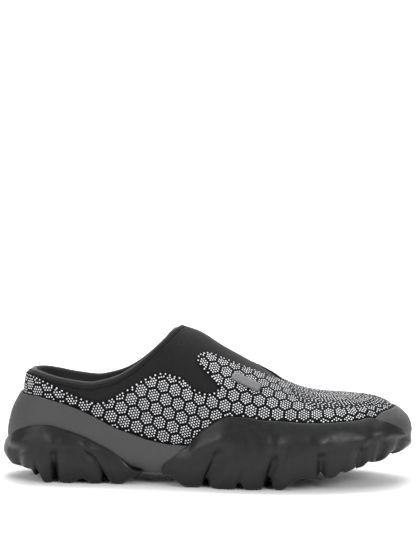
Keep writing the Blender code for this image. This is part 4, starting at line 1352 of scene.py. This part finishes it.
# Nodes of the tree that raises a dot on each point, then its links
DOT_NODES = {
    # use in the tree: kind of node
    "given": "NodeGroupInput",
    "shrink": "ShaderNodeMath",
    "dot": "GeometryNodeMeshCone",
    "way": "GeometryNodeInputNamedAttribute",
    "turn": "FunctionNodeAlignRotationToVector",
    "size": "FunctionNodeRandomValue",
    "spread": "GeometryNodeInstanceOnPoints",
    "real": "GeometryNodeRealizeInstances",
    "smooth": "GeometryNodeSetShadeSmooth",
    "finish": "GeometryNodeSetMaterial",
    "result": "NodeGroupOutput",
}
DOT_LINKS = (
    # from, its output, to, its input
    ("given", "Dot radius", "shrink", 0),
    ("shrink", 0, "dot", "Radius Top"),
    ("given", "Dot radius", "dot", "Radius Bottom"),
    ("given", "Dot height", "dot", "Depth"),
    ("way", "Attribute", "turn", "Vector"),
    ("given", "Geometry", "spread", "Points"),
    ("dot", "Mesh", "spread", "Instance"),
    ("turn", "Rotation", "spread", "Rotation"),
    ("size", "Value", "spread", "Scale"),
    ("spread", "Instances", "real", "Geometry"),
    ("real", "Geometry", "smooth", "Geometry"),
    ("smooth", "Geometry", "finish", "Geometry"),
    ("given", "Material", "finish", "Material"),
    ("finish", "Geometry", "result", "Geometry"),
)


def dot_tree():
    """Node tree that sets a small raised dot on every point, along its direction."""
    tree = bpy.data.node_groups.new("mesh_dots", "GeometryNodeTree")
    for name, in_out, kind in (
        ("Geometry", "INPUT", "Geometry"),
        ("Geometry", "OUTPUT", "Geometry"),
        ("Dot radius", "INPUT", "Float"),
        ("Dot height", "INPUT", "Float"),
        ("Material", "INPUT", "Material"),
    ):
        tree.interface.new_socket(name, in_out=in_out, socket_type="NodeSocket" + kind)
    nodes = {name: tree.nodes.new(kind) for name, kind in DOT_NODES.items()}
    nodes["way"].data_type = "FLOAT_VECTOR"
    nodes["turn"].axis = "Z"
    nodes["size"].data_type = "FLOAT"
    nodes["shrink"].operation = "MULTIPLY"
    for name, slot, value in (
        ("shrink", 1, DOT_TOP),
        ("dot", "Vertices", DOT_CORNERS),
        ("way", "Name", "way"),
        ("size", "Min", DOT_SPREAD[0]),
        ("size", "Max", DOT_SPREAD[1]),
        ("size", "Seed", DOT_SEED),
    ):
        nodes[name].inputs[slot].default_value = value
    for start, output, end, slot in DOT_LINKS:
        tree.links.new(nodes[start].outputs[output], nodes[end].inputs[slot])
    return tree


def build_dots(side, sizes, material):
    """One side's dots, raised on the mesh in honeycomb cells."""
    spots, ways = dot_places(side, sizes.cell_pitch, sizes.dot_pitch)
    name = "mesh_dots_outer" if side == LATERAL else "mesh_dots_inner"
    mesh = bpy.data.meshes.new(name + "_spots")
    mesh.from_pydata([place(spot) for spot in spots], [], [])
    way = mesh.attributes.new("way", "FLOAT_VECTOR", "POINT")
    way.data.foreach_set("vector", np.array([tuple(one) for one in ways], dtype=np.float32).ravel())
    carrier = bpy.data.objects.new(name + "_spots", mesh)
    bpy.context.collection.objects.link(carrier)
    tree = dot_tree()
    spread = carrier.modifiers.new("dots", "NODES")
    spread.node_group = tree
    values = {
        "Dot radius": sizes.dot_size / 2,
        "Dot height": sizes.dot_height * 2,
        "Material": material,
    }
    for item in tree.interface.items_tree:
        if item.name in values:
            spread[item.identifier] = values[item.name]
    graph = bpy.context.evaluated_depsgraph_get()
    made = bpy.data.meshes.new_from_object(carrier.evaluated_get(graph))
    bpy.data.objects.remove(carrier, do_unlink=True)
    piece = bpy.data.objects.new(name, made)
    bpy.context.collection.objects.link(piece)
    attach(piece, "root")
    return piece


def foam_out(u, z):
    """How far the foam's side stands out of the form at height z."""
    side = foam_side(u)
    return curve(side, 1, z) if z > side[1][0] else float(
        np.interp(z, [side[0][0], side[1][0]], [side[0][1], side[1][1]])
    )


def foam_profile(u, side):
    """Half section of the midsole, from its underside to its footbed, its edges soft."""
    x, y, nx, ny, spine = plan(u, side)
    rows = foam_side(u)
    under = [Vector((at, over, foam_under(at))) for at, over in bar(u, side, rows[0][1])]
    made = [a.lerp(b, s) for a, b in zip(under, under[1:]) for s in (0, 0.5)]
    start = len(made)
    made.append(under[2])
    foot, top = rows[1][0], rows[-1][0]
    for z in even(foot, top, 14):
        made.append(sole_point(u, side, z, foam_out(u, z)))
    wall = rows[-1][1] - cup_out(u, rim(x))
    made.append(sole_point(u, side, rim(x), rows[-1][1] - wall * 0.12))
    made.append(sole_point(u, side, rim(x), rows[-1][1] - wall * 0.8))
    floor = bed(x)
    for share in (0.0, 0.12, 0.25, 0.5):
        girth = girth_at(u, mix(rim(x) - wall / 4, floor, share), CUP_FIT)
        made.append(form(u, side, girth, CUP_FIT))
    foot_point = form(u, side, -1.0, CUP_FIT)
    made.append(Vector((foot_point.x, foot_point.y, floor)))
    inset = FEATHER_TUCK + UPPER_WALL + CHAMFER
    made.append(Vector((x - nx * inset, y - ny * inset, floor)))
    made.append(Vector((spine, 0.0, bed(spine))))
    soft = softened(made[start - 1:-1], 2)
    return made[:start - 1] + soft + [made[-1]]


def build_foam_cup():
    """The foam midsole: heel cup, waist and toe bumper in one."""
    points, faces = weld_halves(sole_stations(), foam_profile)
    return new_piece("foam_cup", points, faces, "midsole", sharp=60)


def build_insole():
    """The cloth-faced board inside, its edge turned down softly."""
    def profile(u, side):
        x, y, nx, ny, spine = plan(u, side)
        floor = bed(x) + FIT
        edge = FEATHER_TUCK + UPPER_WALL + FIT
        inset = edge + CHAMFER
        middle = bed(spine) + FIT
        inner = edge + INSOLE_ROUND
        top = [
            Vector((x - nx * edge, y - ny * edge, floor)),
            Vector((x - nx * edge, y - ny * edge, floor + INSOLE_THICKNESS * 0.8)),
            Vector((x - nx * inner, y - ny * inner, floor + INSOLE_THICKNESS)),
            Vector((x - nx * inset, y - ny * inset, floor + INSOLE_THICKNESS)),
        ]
        return [
            Vector((spine, 0.0, middle)),
            Vector((x - nx * inset, y - ny * inset, floor)),
            *softened(top, 1),
            Vector((mix(x, spine, 0.5), y * 0.5, floor + INSOLE_THICKNESS)),
            Vector((spine, 0.0, middle + INSOLE_THICKNESS)),
        ]

    points, faces = weld_halves(sole_stations(), profile)
    return new_piece("insole_board", points, faces, "insole")


def finer(lines, steps):
    """Lines with more between them, each column drawn smoothly over the line's number."""
    rows = [(k, *line) for k, line in enumerate(lines)]
    made = []
    for k in range((len(lines) - 1) * steps + 1):
        made.append(tuple(curve(rows, column, k / steps) for column in range(1, 6)))
    return made


def side_cut(share):
    """Share of the side cut left at this share of the way up a lug's side."""
    return float(np.interp(share, [row[0] for row in SIDE_LEVELS], [row[1] for row in SIDE_LEVELS]))


def pod_profile(line, lines, side, swollen):
    """Half section of a pod along one line: its tread, its side, its lip and its inner skin."""
    foot, cut, head, top_share, side_share = line
    u_foot, u_head = foot * LENGTH, head * LENGTH
    seam = seam_height(u_head)
    wrap = HEEL_WRAP if lines is HEEL_LINES else FOREFOOT_WRAP
    recess = SIDE_CUT * side_share
    start = inner_top(u_head)
    wrap_top = start + RUBBER_EDGE

    edge_out = SOLE_FLARE * curve(RUBBER_SIDE, 1, foot)
    across = bar(u_foot, side, edge_out - CHAMFER, recess)
    made = []
    for a, b in zip(across, across[1:]):
        made.extend((mix(a[0], b[0], s), mix(a[1], b[1], s)) for s in (0, 0.34, 0.67))
    made.append(across[-1])
    under = []
    for x, y in made:
        depth = cut
        if not HEEL_PIVOT * LENGTH <= x <= TOE_PIVOT * LENGTH:
            depth = curve(lines, 1, x / LENGTH)
        under.append(Vector((x, y, lift(x) + TREAD_CUT * depth)))
    low = under[-1].z
    corner = low + min(CHAMFER / 2, (seam - low) / 4)
    side_top = min(max(wrap * top_share, mix(corner, seam, 0.4)), mix(corner, seam, 0.75))
    skin_points = [under[-1]]
    for share in even(0.0, 1.0, 10):
        u, z = mix(u_foot, u_head, share), mix(corner, side_top, share)
        out = rubber_out(u, z, low, seam, wrap_top, recess * side_cut(share))
        skin_points.append(sole_point(u, side, z, out))
    for share, swell in LEDGE_SWELL:
        z = mix(side_top, seam, share)
        out = rubber_out(u_head, z, low, seam, wrap_top) + swell * swollen
        skin_points.append(sole_point(u_head, side, z, out))
    skin_points.append(sole_point(u_head, side, seam - RUBBER_EDGE * 0.25, wrap_top))
    skin_points.append(sole_point(u_head, side, seam, wrap_top - RUBBER_EDGE * 0.25))
    skin_points.append(sole_point(u_head, side, seam, start + RUBBER_EDGE * 0.2))
    outer = under[:-1] + softened(skin_points, 1)

    rows = foam_side(u_head)
    cup_top = rim(plan(u_head, LATERAL)[0])
    inner = []
    last = seam - RUBBER_EDGE / 3
    ledge = cup_top + FIT * 1.5
    floor = rows[0][0] - FIT
    if last > ledge:
        for share in (1.0, 0.66, 0.33, 0.0):
            girth = girth_at(u_head, mix(ledge, last, share), CUP_FIT)
            inner.append(form(u_head, side, girth, CUP_FIT))
        inner.append(sole_point(u_head, side, ledge, rows[-1][1] + FIT))
        last = rows[-1][0]
    else:
        out = foam_out(u_head, min(last, cup_top)) + FIT
        inner.extend(sole_point(u_head, side, last, out) for _ in range(5))
    foot_level = max(rows[1][0], floor)
    for share in (1.0, 0.84, 0.68, 0.52, 0.36, 0.2, 0.0):
        z = mix(min(foot_level, last), last, share)
        inner.append(sole_point(u_head, side, z, foam_out(u_head, z) + FIT))
    inner.extend(
        Vector((x, y, foam_under(x) - FIT))
        for x, y in reversed(bar(u_foot, side, rows[0][1]))
    )
    return outer + inner


def build_pod(name, node, lines, end):
    """A rubber pod with rounded lugs; its end, first or last, is flat across the waist."""
    fine = finer(lines, POD_STEPS)
    swollen = [line[4] for line in fine]
    for _ in range(SWELL_PASSES):
        swollen = [
            (a + 2 * b + c) / 4
            for a, b, c in zip(swollen[:1] + swollen, swollen, swollen[1:] + swollen[-1:])
        ]
    points, faces, caps, maps = [], [], [], []
    for side in SIDES:
        sections = [pod_profile(line, lines, side, extra) for line, extra in zip(fine, swollen)]
        # The cloth map holds each point's depth below the seam, which places the painted shade in the
        # gap along the rubber's top edge
        for line, section in zip(fine, sections):
            seam = seam_height(line[2] * LENGTH)
            maps.extend((seam - point.z, 0.0) for point in section)
        size = len(sections[0])
        first = len(points)
        faces.extend(skin(first, [line[0] * LENGTH for line in fine], size))
        points.extend(point for section in sections for point in section)
        at = first + end % len(sections) * size
        caps.append([at + k for k in range(size)])
    left, right = caps
    faces.append(tuple(left + right[::-1]))
    return new_piece(name, points, faces, node, sharp=55, maps=maps)


def build_side_tab():
    """A plain rounded metal tab, flat against the mesh, with a soft bevel all round."""
    x = TAB_AT[0] * LENGTH
    girth = mix(girth_at(x, rim(x)), QUARTER, TAB_AT[1])
    out = LAYER_FIT + MESH_WALL
    step = 0.01
    middle = form(x, LATERAL, girth, out)
    along = (form(x + step, LATERAL, girth, out) - form(x - step, LATERAL, girth, out)).normalized()
    upward = form(x, LATERAL, girth + step, out) - form(x, LATERAL, girth - step, out)
    outward = upward.cross(along).normalized()
    if outward.y > 0:
        outward = -outward
    upward = along.cross(outward).normalized()
    if upward.z < 0:
        upward = -upward
    corner = TAB_WIDTH * TAB_CORNER
    points = []
    for inset, rise in TAB_RINGS:
        for turn in range(TAB_TURNS):
            angle = 2 * math.pi * (turn + 0.5) / TAB_TURNS
            long = math.copysign(TAB_LENGTH / 2 - corner, math.cos(angle))
            wide = math.copysign(TAB_WIDTH / 2 - corner, math.sin(angle))
            radius = corner - inset * TAB_THICKNESS
            a = long + radius * math.cos(angle)
            b = wide + radius * math.sin(angle)
            points.append(middle + along * a + upward * b + outward * (FIT + rise * TAB_THICKNESS))
    last = (len(TAB_RINGS) - 1) * TAB_TURNS
    faces = [tuple(range(TAB_TURNS)), tuple(range(last, last + TAB_TURNS))]
    for ring in range(len(TAB_RINGS) - 1):
        for k in range(TAB_TURNS):
            n = (k + 1) % TAB_TURNS
            a = ring * TAB_TURNS
            faces.append((a + k, a + n, a + TAB_TURNS + n, a + TAB_TURNS + k))
    return new_piece("plain_tab", points, faces, "side_tab", sharp=80)


def new_material(name, color, roughness, metallic=0.0, specular=0.5):
    """A material with its own node tree: the tree and its shader."""
    material = bpy.data.materials.new(name)
    material.use_nodes = True
    shader = material.node_tree.nodes["Principled BSDF"]
    shader.inputs["Base Color"].default_value = (*color, 1)
    shader.inputs["Roughness"].default_value = roughness
    shader.inputs["Metallic"].default_value = metallic
    shader.inputs["Specular IOR Level"].default_value = specular
    return material, material.node_tree, shader


def add_math(tree, operation, first, second=None):
    """A Math node on links or numbers."""
    node = tree.nodes.new("ShaderNodeMath")
    node.operation = operation
    for slot, value in enumerate((first, second)):
        if value is None:
            continue
        if isinstance(value, (int, float)):
            node.inputs[slot].default_value = value
        else:
            tree.links.new(value, node.inputs[slot])
    return node.outputs[0]


def add_place(tree, cloth=False):
    """The cloth map's place, or the object's own."""
    if cloth:
        node = tree.nodes.new("ShaderNodeUVMap")
        node.uv_map = "cloth"
        return node.outputs["UV"]
    return tree.nodes.new("ShaderNodeTexCoord").outputs["Object"]


def add_cloth_axes(tree):
    """The two values of the cloth map's place."""
    node = tree.nodes.new("ShaderNodeSeparateXYZ")
    tree.links.new(add_place(tree, cloth=True), node.inputs[0])
    return node.outputs[0], node.outputs[1]


def add_noise(tree, at, scale, detail=2.0, roughness=0.5):
    """Noise of a scale at a place."""
    node = tree.nodes.new("ShaderNodeTexNoise")
    node.inputs["Scale"].default_value = scale
    node.inputs["Detail"].default_value = detail
    node.inputs["Roughness"].default_value = roughness
    tree.links.new(at, node.inputs["Vector"])
    return node.outputs["Fac"]


def add_range(tree, value, low, high, low_to, high_to):
    """A value taken smoothly from one range to another."""
    node = tree.nodes.new("ShaderNodeMapRange")
    node.interpolation_type = "SMOOTHSTEP"
    tree.links.new(value, node.inputs["Value"])
    for name, number in (("From Min", low), ("From Max", high), ("To Min", low_to), ("To Max", high_to)):
        node.inputs[name].default_value = number
    return node.outputs["Result"]


def add_tint(tree, shader, color, factor, other):
    """Base colour that goes from one to another by a factor, each a colour or a link."""
    node = tree.nodes.new("ShaderNodeMix")
    node.data_type = "RGBA"
    for slot, value in ((6, color), (7, other)):
        if isinstance(value, bpy.types.NodeSocket):
            tree.links.new(value, node.inputs[slot])
        else:
            node.inputs[slot].default_value = (*value, 1)
    tree.links.new(factor, node.inputs[0])
    tree.links.new(node.outputs[2], shader.inputs["Base Color"])
    return node.outputs[2]


def add_bump(tree, shader, height, depth, under=None):
    """Bump of a height from 0 to 1 over a depth in metres, on top of another bump."""
    node = tree.nodes.new("ShaderNodeBump")
    node.inputs["Strength"].default_value = 1.0
    node.inputs["Distance"].default_value = depth
    tree.links.new(height, node.inputs["Height"])
    if under is not None:
        tree.links.new(under, node.inputs["Normal"])
    tree.links.new(node.outputs["Normal"], shader.inputs["Normal"])
    return node.outputs["Normal"]


def shaded(color, share):
    """A colour made darker or lighter by a share."""
    return tuple(channel * share for channel in color)


def stretch_cloth(name, color, groove_at):
    """Matt foam-backed stretch cloth: fine grain, faint mottling, a pressed line by the edge with
    painted shade in it.
    """
    material, tree, shader = new_material(name, color, 0.78, specular=0.2)
    shader.inputs["Sheen Weight"].default_value = 0.03
    shader.inputs["Sheen Roughness"].default_value = 0.45
    at = add_place(tree)
    mottle = add_noise(tree, at, 55.0, 4.0)
    tint = add_tint(tree, shader, shaded(color, 0.86), mottle, shaded(color, 1.2))
    grain = add_noise(tree, at, 3200.0, 2.0, 0.7)
    bump = add_bump(tree, shader, grain, 0.00006)
    slow = add_noise(tree, at, 120.0, 3.0)
    bump = add_bump(tree, shader, slow, 0.00012, bump)
    if groove_at:
        below, _ = add_cloth_axes(tree)
        away = add_math(tree, "ABSOLUTE", add_math(tree, "SUBTRACT", below, groove_at))
        groove_and_shade = add_range(tree, away, 0.0, GROOVE[0], 0.0, 1.0)
        add_bump(tree, shader, groove_and_shade, GROOVE[1], bump)
        # Painted shade: the cloth darkens to 0.3 of its colour inside the pressed line
        add_tint(tree, shader, shaded(color, 0.3), groove_and_shade, tint)
    add_gloss(tree, shader, at, 0.70, 0.86, 900.0)
    return material


def add_gloss(tree, shader, at, low, high, scale):
    """Roughness that wanders between two values."""
    wander = add_noise(tree, at, scale, 3.0)
    tree.links.new(add_range(tree, wander, 0.3, 0.7, low, high), shader.inputs["Roughness"])


def honeycomb_cloth(name, color, cell, pitch):
    """Black mesh: small holes, and slightly raised glossier outlines round its cells."""
    material, tree, shader = new_material(name, color, 0.62, specular=0.08)
    at = add_place(tree, cloth=True)
    x, y = add_cloth_axes(tree)
    height = cell * SLANT

    def from_centre(shift):
        """How far a place is out of its cell, for every other row of cells."""
        along = add_math(tree, "ADD", x, 50.5 * cell + shift * cell / 2)
        up = add_math(tree, "ADD", y, 50 * height + height + shift * height)
        a = add_math(tree, "SUBTRACT", add_math(tree, "MODULO", along, cell), cell / 2)
        b = add_math(tree, "SUBTRACT", add_math(tree, "MODULO", up, 2 * height), height)
        a, b = add_math(tree, "ABSOLUTE", a), add_math(tree, "ABSOLUTE", b)
        across, upwards = add_math(tree, "MULTIPLY", a, 0.5), add_math(tree, "MULTIPLY", b, SLANT)
        slanted = add_math(tree, "ADD", across, upwards)
        return add_math(tree, "MAXIMUM", a, slanted)

    out = add_math(tree, "MINIMUM", from_centre(0), from_centre(1))
    line = add_range(tree, out, cell * 0.43, cell * 0.465, 0.0, 1.0)
    add_tint(tree, shader, color, line, shaded(color, 0.45))
    holes = tree.nodes.new("ShaderNodeTexVoronoi")
    holes.inputs["Scale"].default_value = 1.0 / (pitch * 0.62)
    tree.links.new(at, holes.inputs["Vector"])
    bump = add_bump(tree, shader, holes.outputs["Distance"], 0.00025)
    add_bump(tree, shader, line, 0.0002, bump)
    tree.links.new(add_range(tree, line, 0.0, 1.0, 0.68, 0.46), shader.inputs["Roughness"])
    return material


def printed_dots(name, color):
    """Pale rubbery print, a little uneven in tone."""
    material, tree, shader = new_material(name, color, 0.6, specular=0.0)
    at = add_place(tree)
    tone = add_noise(tree, at, 420.0, 2.0)
    add_tint(tree, shader, shaded(color, 0.78), add_range(tree, tone, 0.3, 0.6, 0.0, 1.0), color)
    add_gloss(tree, shader, at, 0.52, 0.68, 300.0)
    return material


def moulded_foam(name, color):
    """Moulded foam: matt skin with faint pores and slow changes of tone."""
    material, tree, shader = new_material(name, color, 0.6, specular=0.3)
    at = add_place(tree)
    tone = add_noise(tree, at, 28.0, 4.0)
    add_tint(tree, shader, shaded(color, 0.88), tone, shaded(color, 1.14))
    pores = add_noise(tree, at, 2400.0, 3.0, 0.65)
    bump = add_bump(tree, shader, pores, 0.00005)
    add_bump(tree, shader, add_noise(tree, at, 90.0, 2.0), 0.00018, bump)
    add_gloss(tree, shader, at, 0.52, 0.66, 400.0)
    return material


def moulded_rubber(name, color):
    """Moulded rubber: satin, finely grained, with painted shade in the narrow gap along its top edge."""
    material, tree, shader = new_material(name, color, 0.4, specular=0.32)
    at = add_place(tree)
    tone = add_noise(tree, at, 35.0, 4.0)
    tint = add_tint(tree, shader, shaded(color, 0.86), tone, shaded(color, 1.16))
    # Painted shade: the rubber darkens to a quarter of its colour in the narrow gap just below its top
    # edge
    below, _ = add_cloth_axes(tree)
    lip = add_range(tree, below, *LIP_SHADE, 0.0, 1.0)
    add_tint(tree, shader, shaded(color, 0.25), lip, tint)
    grain = add_noise(tree, at, 2600.0, 2.0, 0.6)
    bump = add_bump(tree, shader, grain, 0.00004)
    add_bump(tree, shader, add_noise(tree, at, 140.0, 2.0), 0.00012, bump)
    add_gloss(tree, shader, at, 0.34, 0.46, 260.0)
    return material


def lining_cloth(name, color):
    """Soft knitted lining: fine ribs along its run, with a nap."""
    material, tree, shader = new_material(name, color, 0.85)
    shader.inputs["Sheen Weight"].default_value = 0.2
    shader.inputs["Sheen Roughness"].default_value = 0.5
    at = add_place(tree, cloth=True)
    ribs = tree.nodes.new("ShaderNodeTexWave")
    ribs.inputs["Scale"].default_value = 380.0
    ribs.inputs["Distortion"].default_value = 1.5
    tree.links.new(at, ribs.inputs["Vector"])
    bump = add_bump(tree, shader, ribs.outputs["Fac"], 0.00005)
    own = add_place(tree)
    add_bump(tree, shader, add_noise(tree, own, 2600.0, 3.0, 0.7), 0.00006, bump)
    add_tint(tree, shader, shaded(color, 0.85), add_noise(tree, own, 60.0, 3.0), shaded(color, 1.2))
    return material


def board_cloth(name, color):
    """Woven cover of the insole: a square weave with a dry nap."""
    material, tree, shader = new_material(name, color, 0.88)
    at = add_place(tree)
    weave = []
    for turn in (0.0, 90.0):
        mapping = tree.nodes.new("ShaderNodeMapping")
        mapping.inputs["Rotation"].default_value = (0.0, 0.0, math.radians(turn + 45.0))
        tree.links.new(at, mapping.inputs["Vector"])
        wave = tree.nodes.new("ShaderNodeTexWave")
        wave.inputs["Scale"].default_value = 300.0
        wave.inputs["Distortion"].default_value = 0.6
        tree.links.new(mapping.outputs["Vector"], wave.inputs["Vector"])
        weave.append(wave.outputs["Fac"])
    cloth = add_math(tree, "MULTIPLY", weave[0], weave[1])
    bump = add_bump(tree, shader, cloth, 0.00014)
    add_bump(tree, shader, add_noise(tree, at, 1800.0, 3.0, 0.7), 0.00006, bump)
    add_tint(tree, shader, shaded(color, 0.8), add_noise(tree, at, 45.0, 4.0), shaded(color, 1.25))
    return material


def satin_metal(name, color):
    """Satin metal, brushed along its length, with faint hairlines."""
    material, tree, shader = new_material(name, color, 0.42, 1.0)
    at = add_place(tree)
    mapping = tree.nodes.new("ShaderNodeMapping")
    mapping.inputs["Rotation"].default_value = (0.0, math.radians(27.0), 0.0)
    mapping.inputs["Scale"].default_value = (60.0, 2200.0, 2200.0)
    tree.links.new(at, mapping.inputs["Vector"])
    lines = add_noise(tree, mapping.outputs["Vector"], 1.0, 3.0)
    add_bump(tree, shader, lines, 0.00003)
    tree.links.new(add_range(tree, lines, 0.3, 0.7, 0.36, 0.5), shader.inputs["Roughness"])
    return material


def studio_floor(name, color):
    """Plain pale floor with the faintest mottling."""
    material, tree, shader = new_material(name, color, 0.9)
    add_tint(tree, shader, color, add_noise(tree, add_place(tree), 3.0, 2.0), shaded(color, 0.985))
    return material


def color_property(name, description, default):
    return bpy.props.FloatVectorProperty(
        name=name, description=description, default=default, size=3, subtype="COLOR", min=0.0, max=1.0
    )


def length_property(name, description, default):
    return bpy.props.FloatProperty(
        name=name, description=description, default=default, min=0.0, unit="LENGTH", precision=5
    )


class SneakerSizes(bpy.types.PropertyGroup):
    """Sizes of the sneaker's surface work and studio."""

    cell_pitch: length_property("Cell pitch", "Distance between the mesh's honeycomb cells", 0.0099)
    dot_pitch: length_property("Dot pitch", "Distance between the dots of a cell", 0.00196)
    dot_size: length_property("Dot size", "Width of a dot", 0.00130)
    dot_height: length_property("Dot height", "How far a dot stands out of the mesh", 0.00005)
    groove_at: length_property("Pressed line", "Distance of the pressed line from the collar", 0.0030)
    camera_distance: length_property("Camera distance", "From the shoe's middle to the camera", 1.7)
    camera_turn: bpy.props.FloatProperty(
        name="Camera turn", description="How far the camera stands round towards the toe",
        default=math.radians(6.0), subtype="ANGLE",
    )
    camera_rise: bpy.props.FloatProperty(
        name="Camera rise", description="How far the camera looks down on the shoe",
        default=math.radians(5.0), subtype="ANGLE",
    )


class SneakerColors(bpy.types.PropertyGroup):
    """Colours of the sneaker's finishes."""

    cloth: color_property("Stretch cloth", "Colour of the stretch upper", (0.008, 0.008, 0.008))
    mesh: color_property("Mesh", "Colour of the mesh under its dots", (0.006, 0.006, 0.007))
    dots: color_property("Dots", "Colour of the mesh's printed dots", (0.76, 0.77, 0.79))
    lining: color_property("Lining", "Colour of the collar's lining", (0.024, 0.024, 0.024))
    foam: color_property("Foam", "Colour of the foam cup", (0.052, 0.052, 0.053))
    rubber: color_property("Rubber", "Colour of the rubber pods", (0.007, 0.0074, 0.0074))
    board: color_property("Insole", "Colour of the insole's cover", (0.010, 0.010, 0.010))
    metal: color_property("Tab", "Colour of the metal tab", (0.15, 0.15, 0.153))
    floor: color_property("Floor", "Colour of the studio floor", (0.95, 0.95, 0.95))


def dress(piece, material):
    piece.data.materials.clear()
    piece.data.materials.append(material)


class SNEAKER_OT_upper(bpy.types.Operator):
    """Build the hollow stretch-cloth upper"""

    bl_idname = "sneaker.upper"
    bl_label = "Stretch upper"

    def execute(self, context):
        scene = context.scene
        cloth = stretch_cloth("stretch_cloth", scene.sneaker_colors.cloth, scene.sneaker_sizes.groove_at)
        dress(build_upper(), cloth)
        return {"FINISHED"}


class SNEAKER_OT_mesh(bpy.types.Operator):
    """Build the honeycomb mesh over the upper, with its printed dots"""

    bl_idname = "sneaker.mesh"
    bl_label = "Mesh layer and dots"

    def execute(self, context):
        sizes, colors = context.scene.sneaker_sizes, context.scene.sneaker_colors
        cloth = honeycomb_cloth("honeycomb_cloth", colors.mesh, sizes.cell_pitch, sizes.dot_pitch)
        dress(build_mesh_layer(), cloth)
        dots = printed_dots("printed_dots", colors.dots)
        for side in SIDES:
            build_dots(side, sizes, dots)
        return {"FINISHED"}


class SNEAKER_OT_lining(bpy.types.Operator):
    """Build the rolled lining at the collar"""

    bl_idname = "sneaker.lining"
    bl_label = "Collar lining"

    def execute(self, context):
        dress(build_collar_lining(), lining_cloth("lining_cloth", context.scene.sneaker_colors.lining))
        return {"FINISHED"}


class SNEAKER_OT_foam(bpy.types.Operator):
    """Build the foam cup and the insole"""

    bl_idname = "sneaker.foam"
    bl_label = "Foam cup and insole"

    def execute(self, context):
        colors = context.scene.sneaker_colors
        dress(build_foam_cup(), moulded_foam("moulded_foam", colors.foam))
        dress(build_insole(), board_cloth("board_cloth", colors.board))
        return {"FINISHED"}


class SNEAKER_OT_rubber(bpy.types.Operator):
    """Build the two rubber pods of the outsole"""

    bl_idname = "sneaker.rubber"
    bl_label = "Rubber pods"

    def execute(self, context):
        rubber = moulded_rubber("moulded_rubber", context.scene.sneaker_colors.rubber)
        dress(build_pod("heel_pod", "outsole_heel", HEEL_LINES, -1), rubber)
        dress(build_pod("forefoot_pod", "outsole_forefoot", FOREFOOT_LINES, 0), rubber)
        return {"FINISHED"}


class SNEAKER_OT_tab(bpy.types.Operator):
    """Build the plain metal tab"""

    bl_idname = "sneaker.tab"
    bl_label = "Metal tab"

    def execute(self, context):
        dress(build_side_tab(), satin_metal("satin_metal", context.scene.sneaker_colors.metal))
        return {"FINISHED"}


class SNEAKER_OT_studio(bpy.types.Operator):
    """Build the floor, the lights and the camera"""

    bl_idname = "sneaker.studio"
    bl_label = "Studio"

    def execute(self, context):
        build_studio(context.scene)
        return {"FINISHED"}


class SNEAKER_PT_panel(bpy.types.Panel):
    """Sidebar panel with the sneaker's sizes, colours and steps"""

    bl_label = "Slip-on sneaker"
    bl_idname = "SNEAKER_PT_panel"
    bl_space_type = "VIEW_3D"
    bl_region_type = "UI"
    bl_category = "Sneaker"

    def draw(self, context):
        layout = self.layout
        for group in (context.scene.sneaker_sizes, context.scene.sneaker_colors):
            box = layout.box()
            for name in group.__annotations__:
                box.prop(group, name)
        for step in STEPS:
            layout.operator(step.bl_idname)


def add_light(name, at, towards, size, power):
    """A soft area light at a place, turned towards another."""
    lamp = bpy.data.lights.new(name, "AREA")
    lamp.shape = "SQUARE"
    lamp.size = size
    lamp.energy = power
    light = bpy.data.objects.new(name, lamp)
    light.location = at
    light.rotation_euler = (Vector(towards) - Vector(at)).to_track_quat("-Z", "Y").to_euler()
    bpy.context.collection.objects.link(light)


def build_studio(scene):
    """Pale floor and backdrop, soft light from above and in front, the photo's viewpoint."""
    sizes, colors = scene.sneaker_sizes, scene.sneaker_colors
    pale = studio_floor("studio_floor", colors.floor)
    for name, corners in STUDIO_SHEETS:
        mesh = bpy.data.meshes.new(name)
        mesh.from_pydata(corners, [], [(0, 1, 2, 3)])
        sheet = bpy.data.objects.new(name, mesh)
        bpy.context.collection.objects.link(sheet)
        dress(sheet, pale)

    world = bpy.data.worlds.new("studio")
    world.use_nodes = True
    sky = world.node_tree.nodes["Background"]
    sky.inputs["Color"].default_value = (1.0, 1.0, 1.0, 1)
    sky.inputs["Strength"].default_value = WORLD_LIGHT
    scene.world = world
    for light in LIGHTS:
        add_light(*light)

    camera_data = bpy.data.cameras.new("photo_view")
    camera_data.sensor_fit = "HORIZONTAL"
    camera_data.lens = camera_data.sensor_width * sizes.camera_distance / VIEW_WIDTH
    camera_data.clip_end = 50.0
    camera = bpy.data.objects.new("photo_view", camera_data)
    rise, turn = sizes.camera_rise, sizes.camera_turn
    camera.location = Vector(VIEW_CENTRE) + sizes.camera_distance * Vector((
        math.sin(turn) * math.cos(rise), -math.cos(turn) * math.cos(rise), math.sin(rise)
    ))
    camera.rotation_euler = (Vector(VIEW_CENTRE) - camera.location).to_track_quat("-Z", "Y").to_euler()
    bpy.context.collection.objects.link(camera)
    scene.camera = camera
    scene.view_settings.view_transform = "Standard"


STEPS = (
    SNEAKER_OT_upper,
    SNEAKER_OT_mesh,
    SNEAKER_OT_lining,
    SNEAKER_OT_foam,
    SNEAKER_OT_rubber,
    SNEAKER_OT_tab,
    SNEAKER_OT_studio,
)
CLASSES = (SneakerSizes, SneakerColors, *STEPS, SNEAKER_PT_panel)


def register():
    for one in CLASSES:
        bpy.utils.register_class(one)
    bpy.types.Scene.sneaker_sizes = bpy.props.PointerProperty(type=SneakerSizes)
    bpy.types.Scene.sneaker_colors = bpy.props.PointerProperty(type=SneakerColors)


def unregister():
    del bpy.types.Scene.sneaker_colors
    del bpy.types.Scene.sneaker_sizes
    for one in reversed(CLASSES):
        bpy.utils.unregister_class(one)


def main():
    register()
    bpy.ops.sneaker.upper()
    bpy.ops.sneaker.mesh()
    bpy.ops.sneaker.lining()
    bpy.ops.sneaker.foam()
    bpy.ops.sneaker.rubber()
    bpy.ops.sneaker.tab()
    bpy.ops.sneaker.studio()


if __name__ == "__main__":
    main()
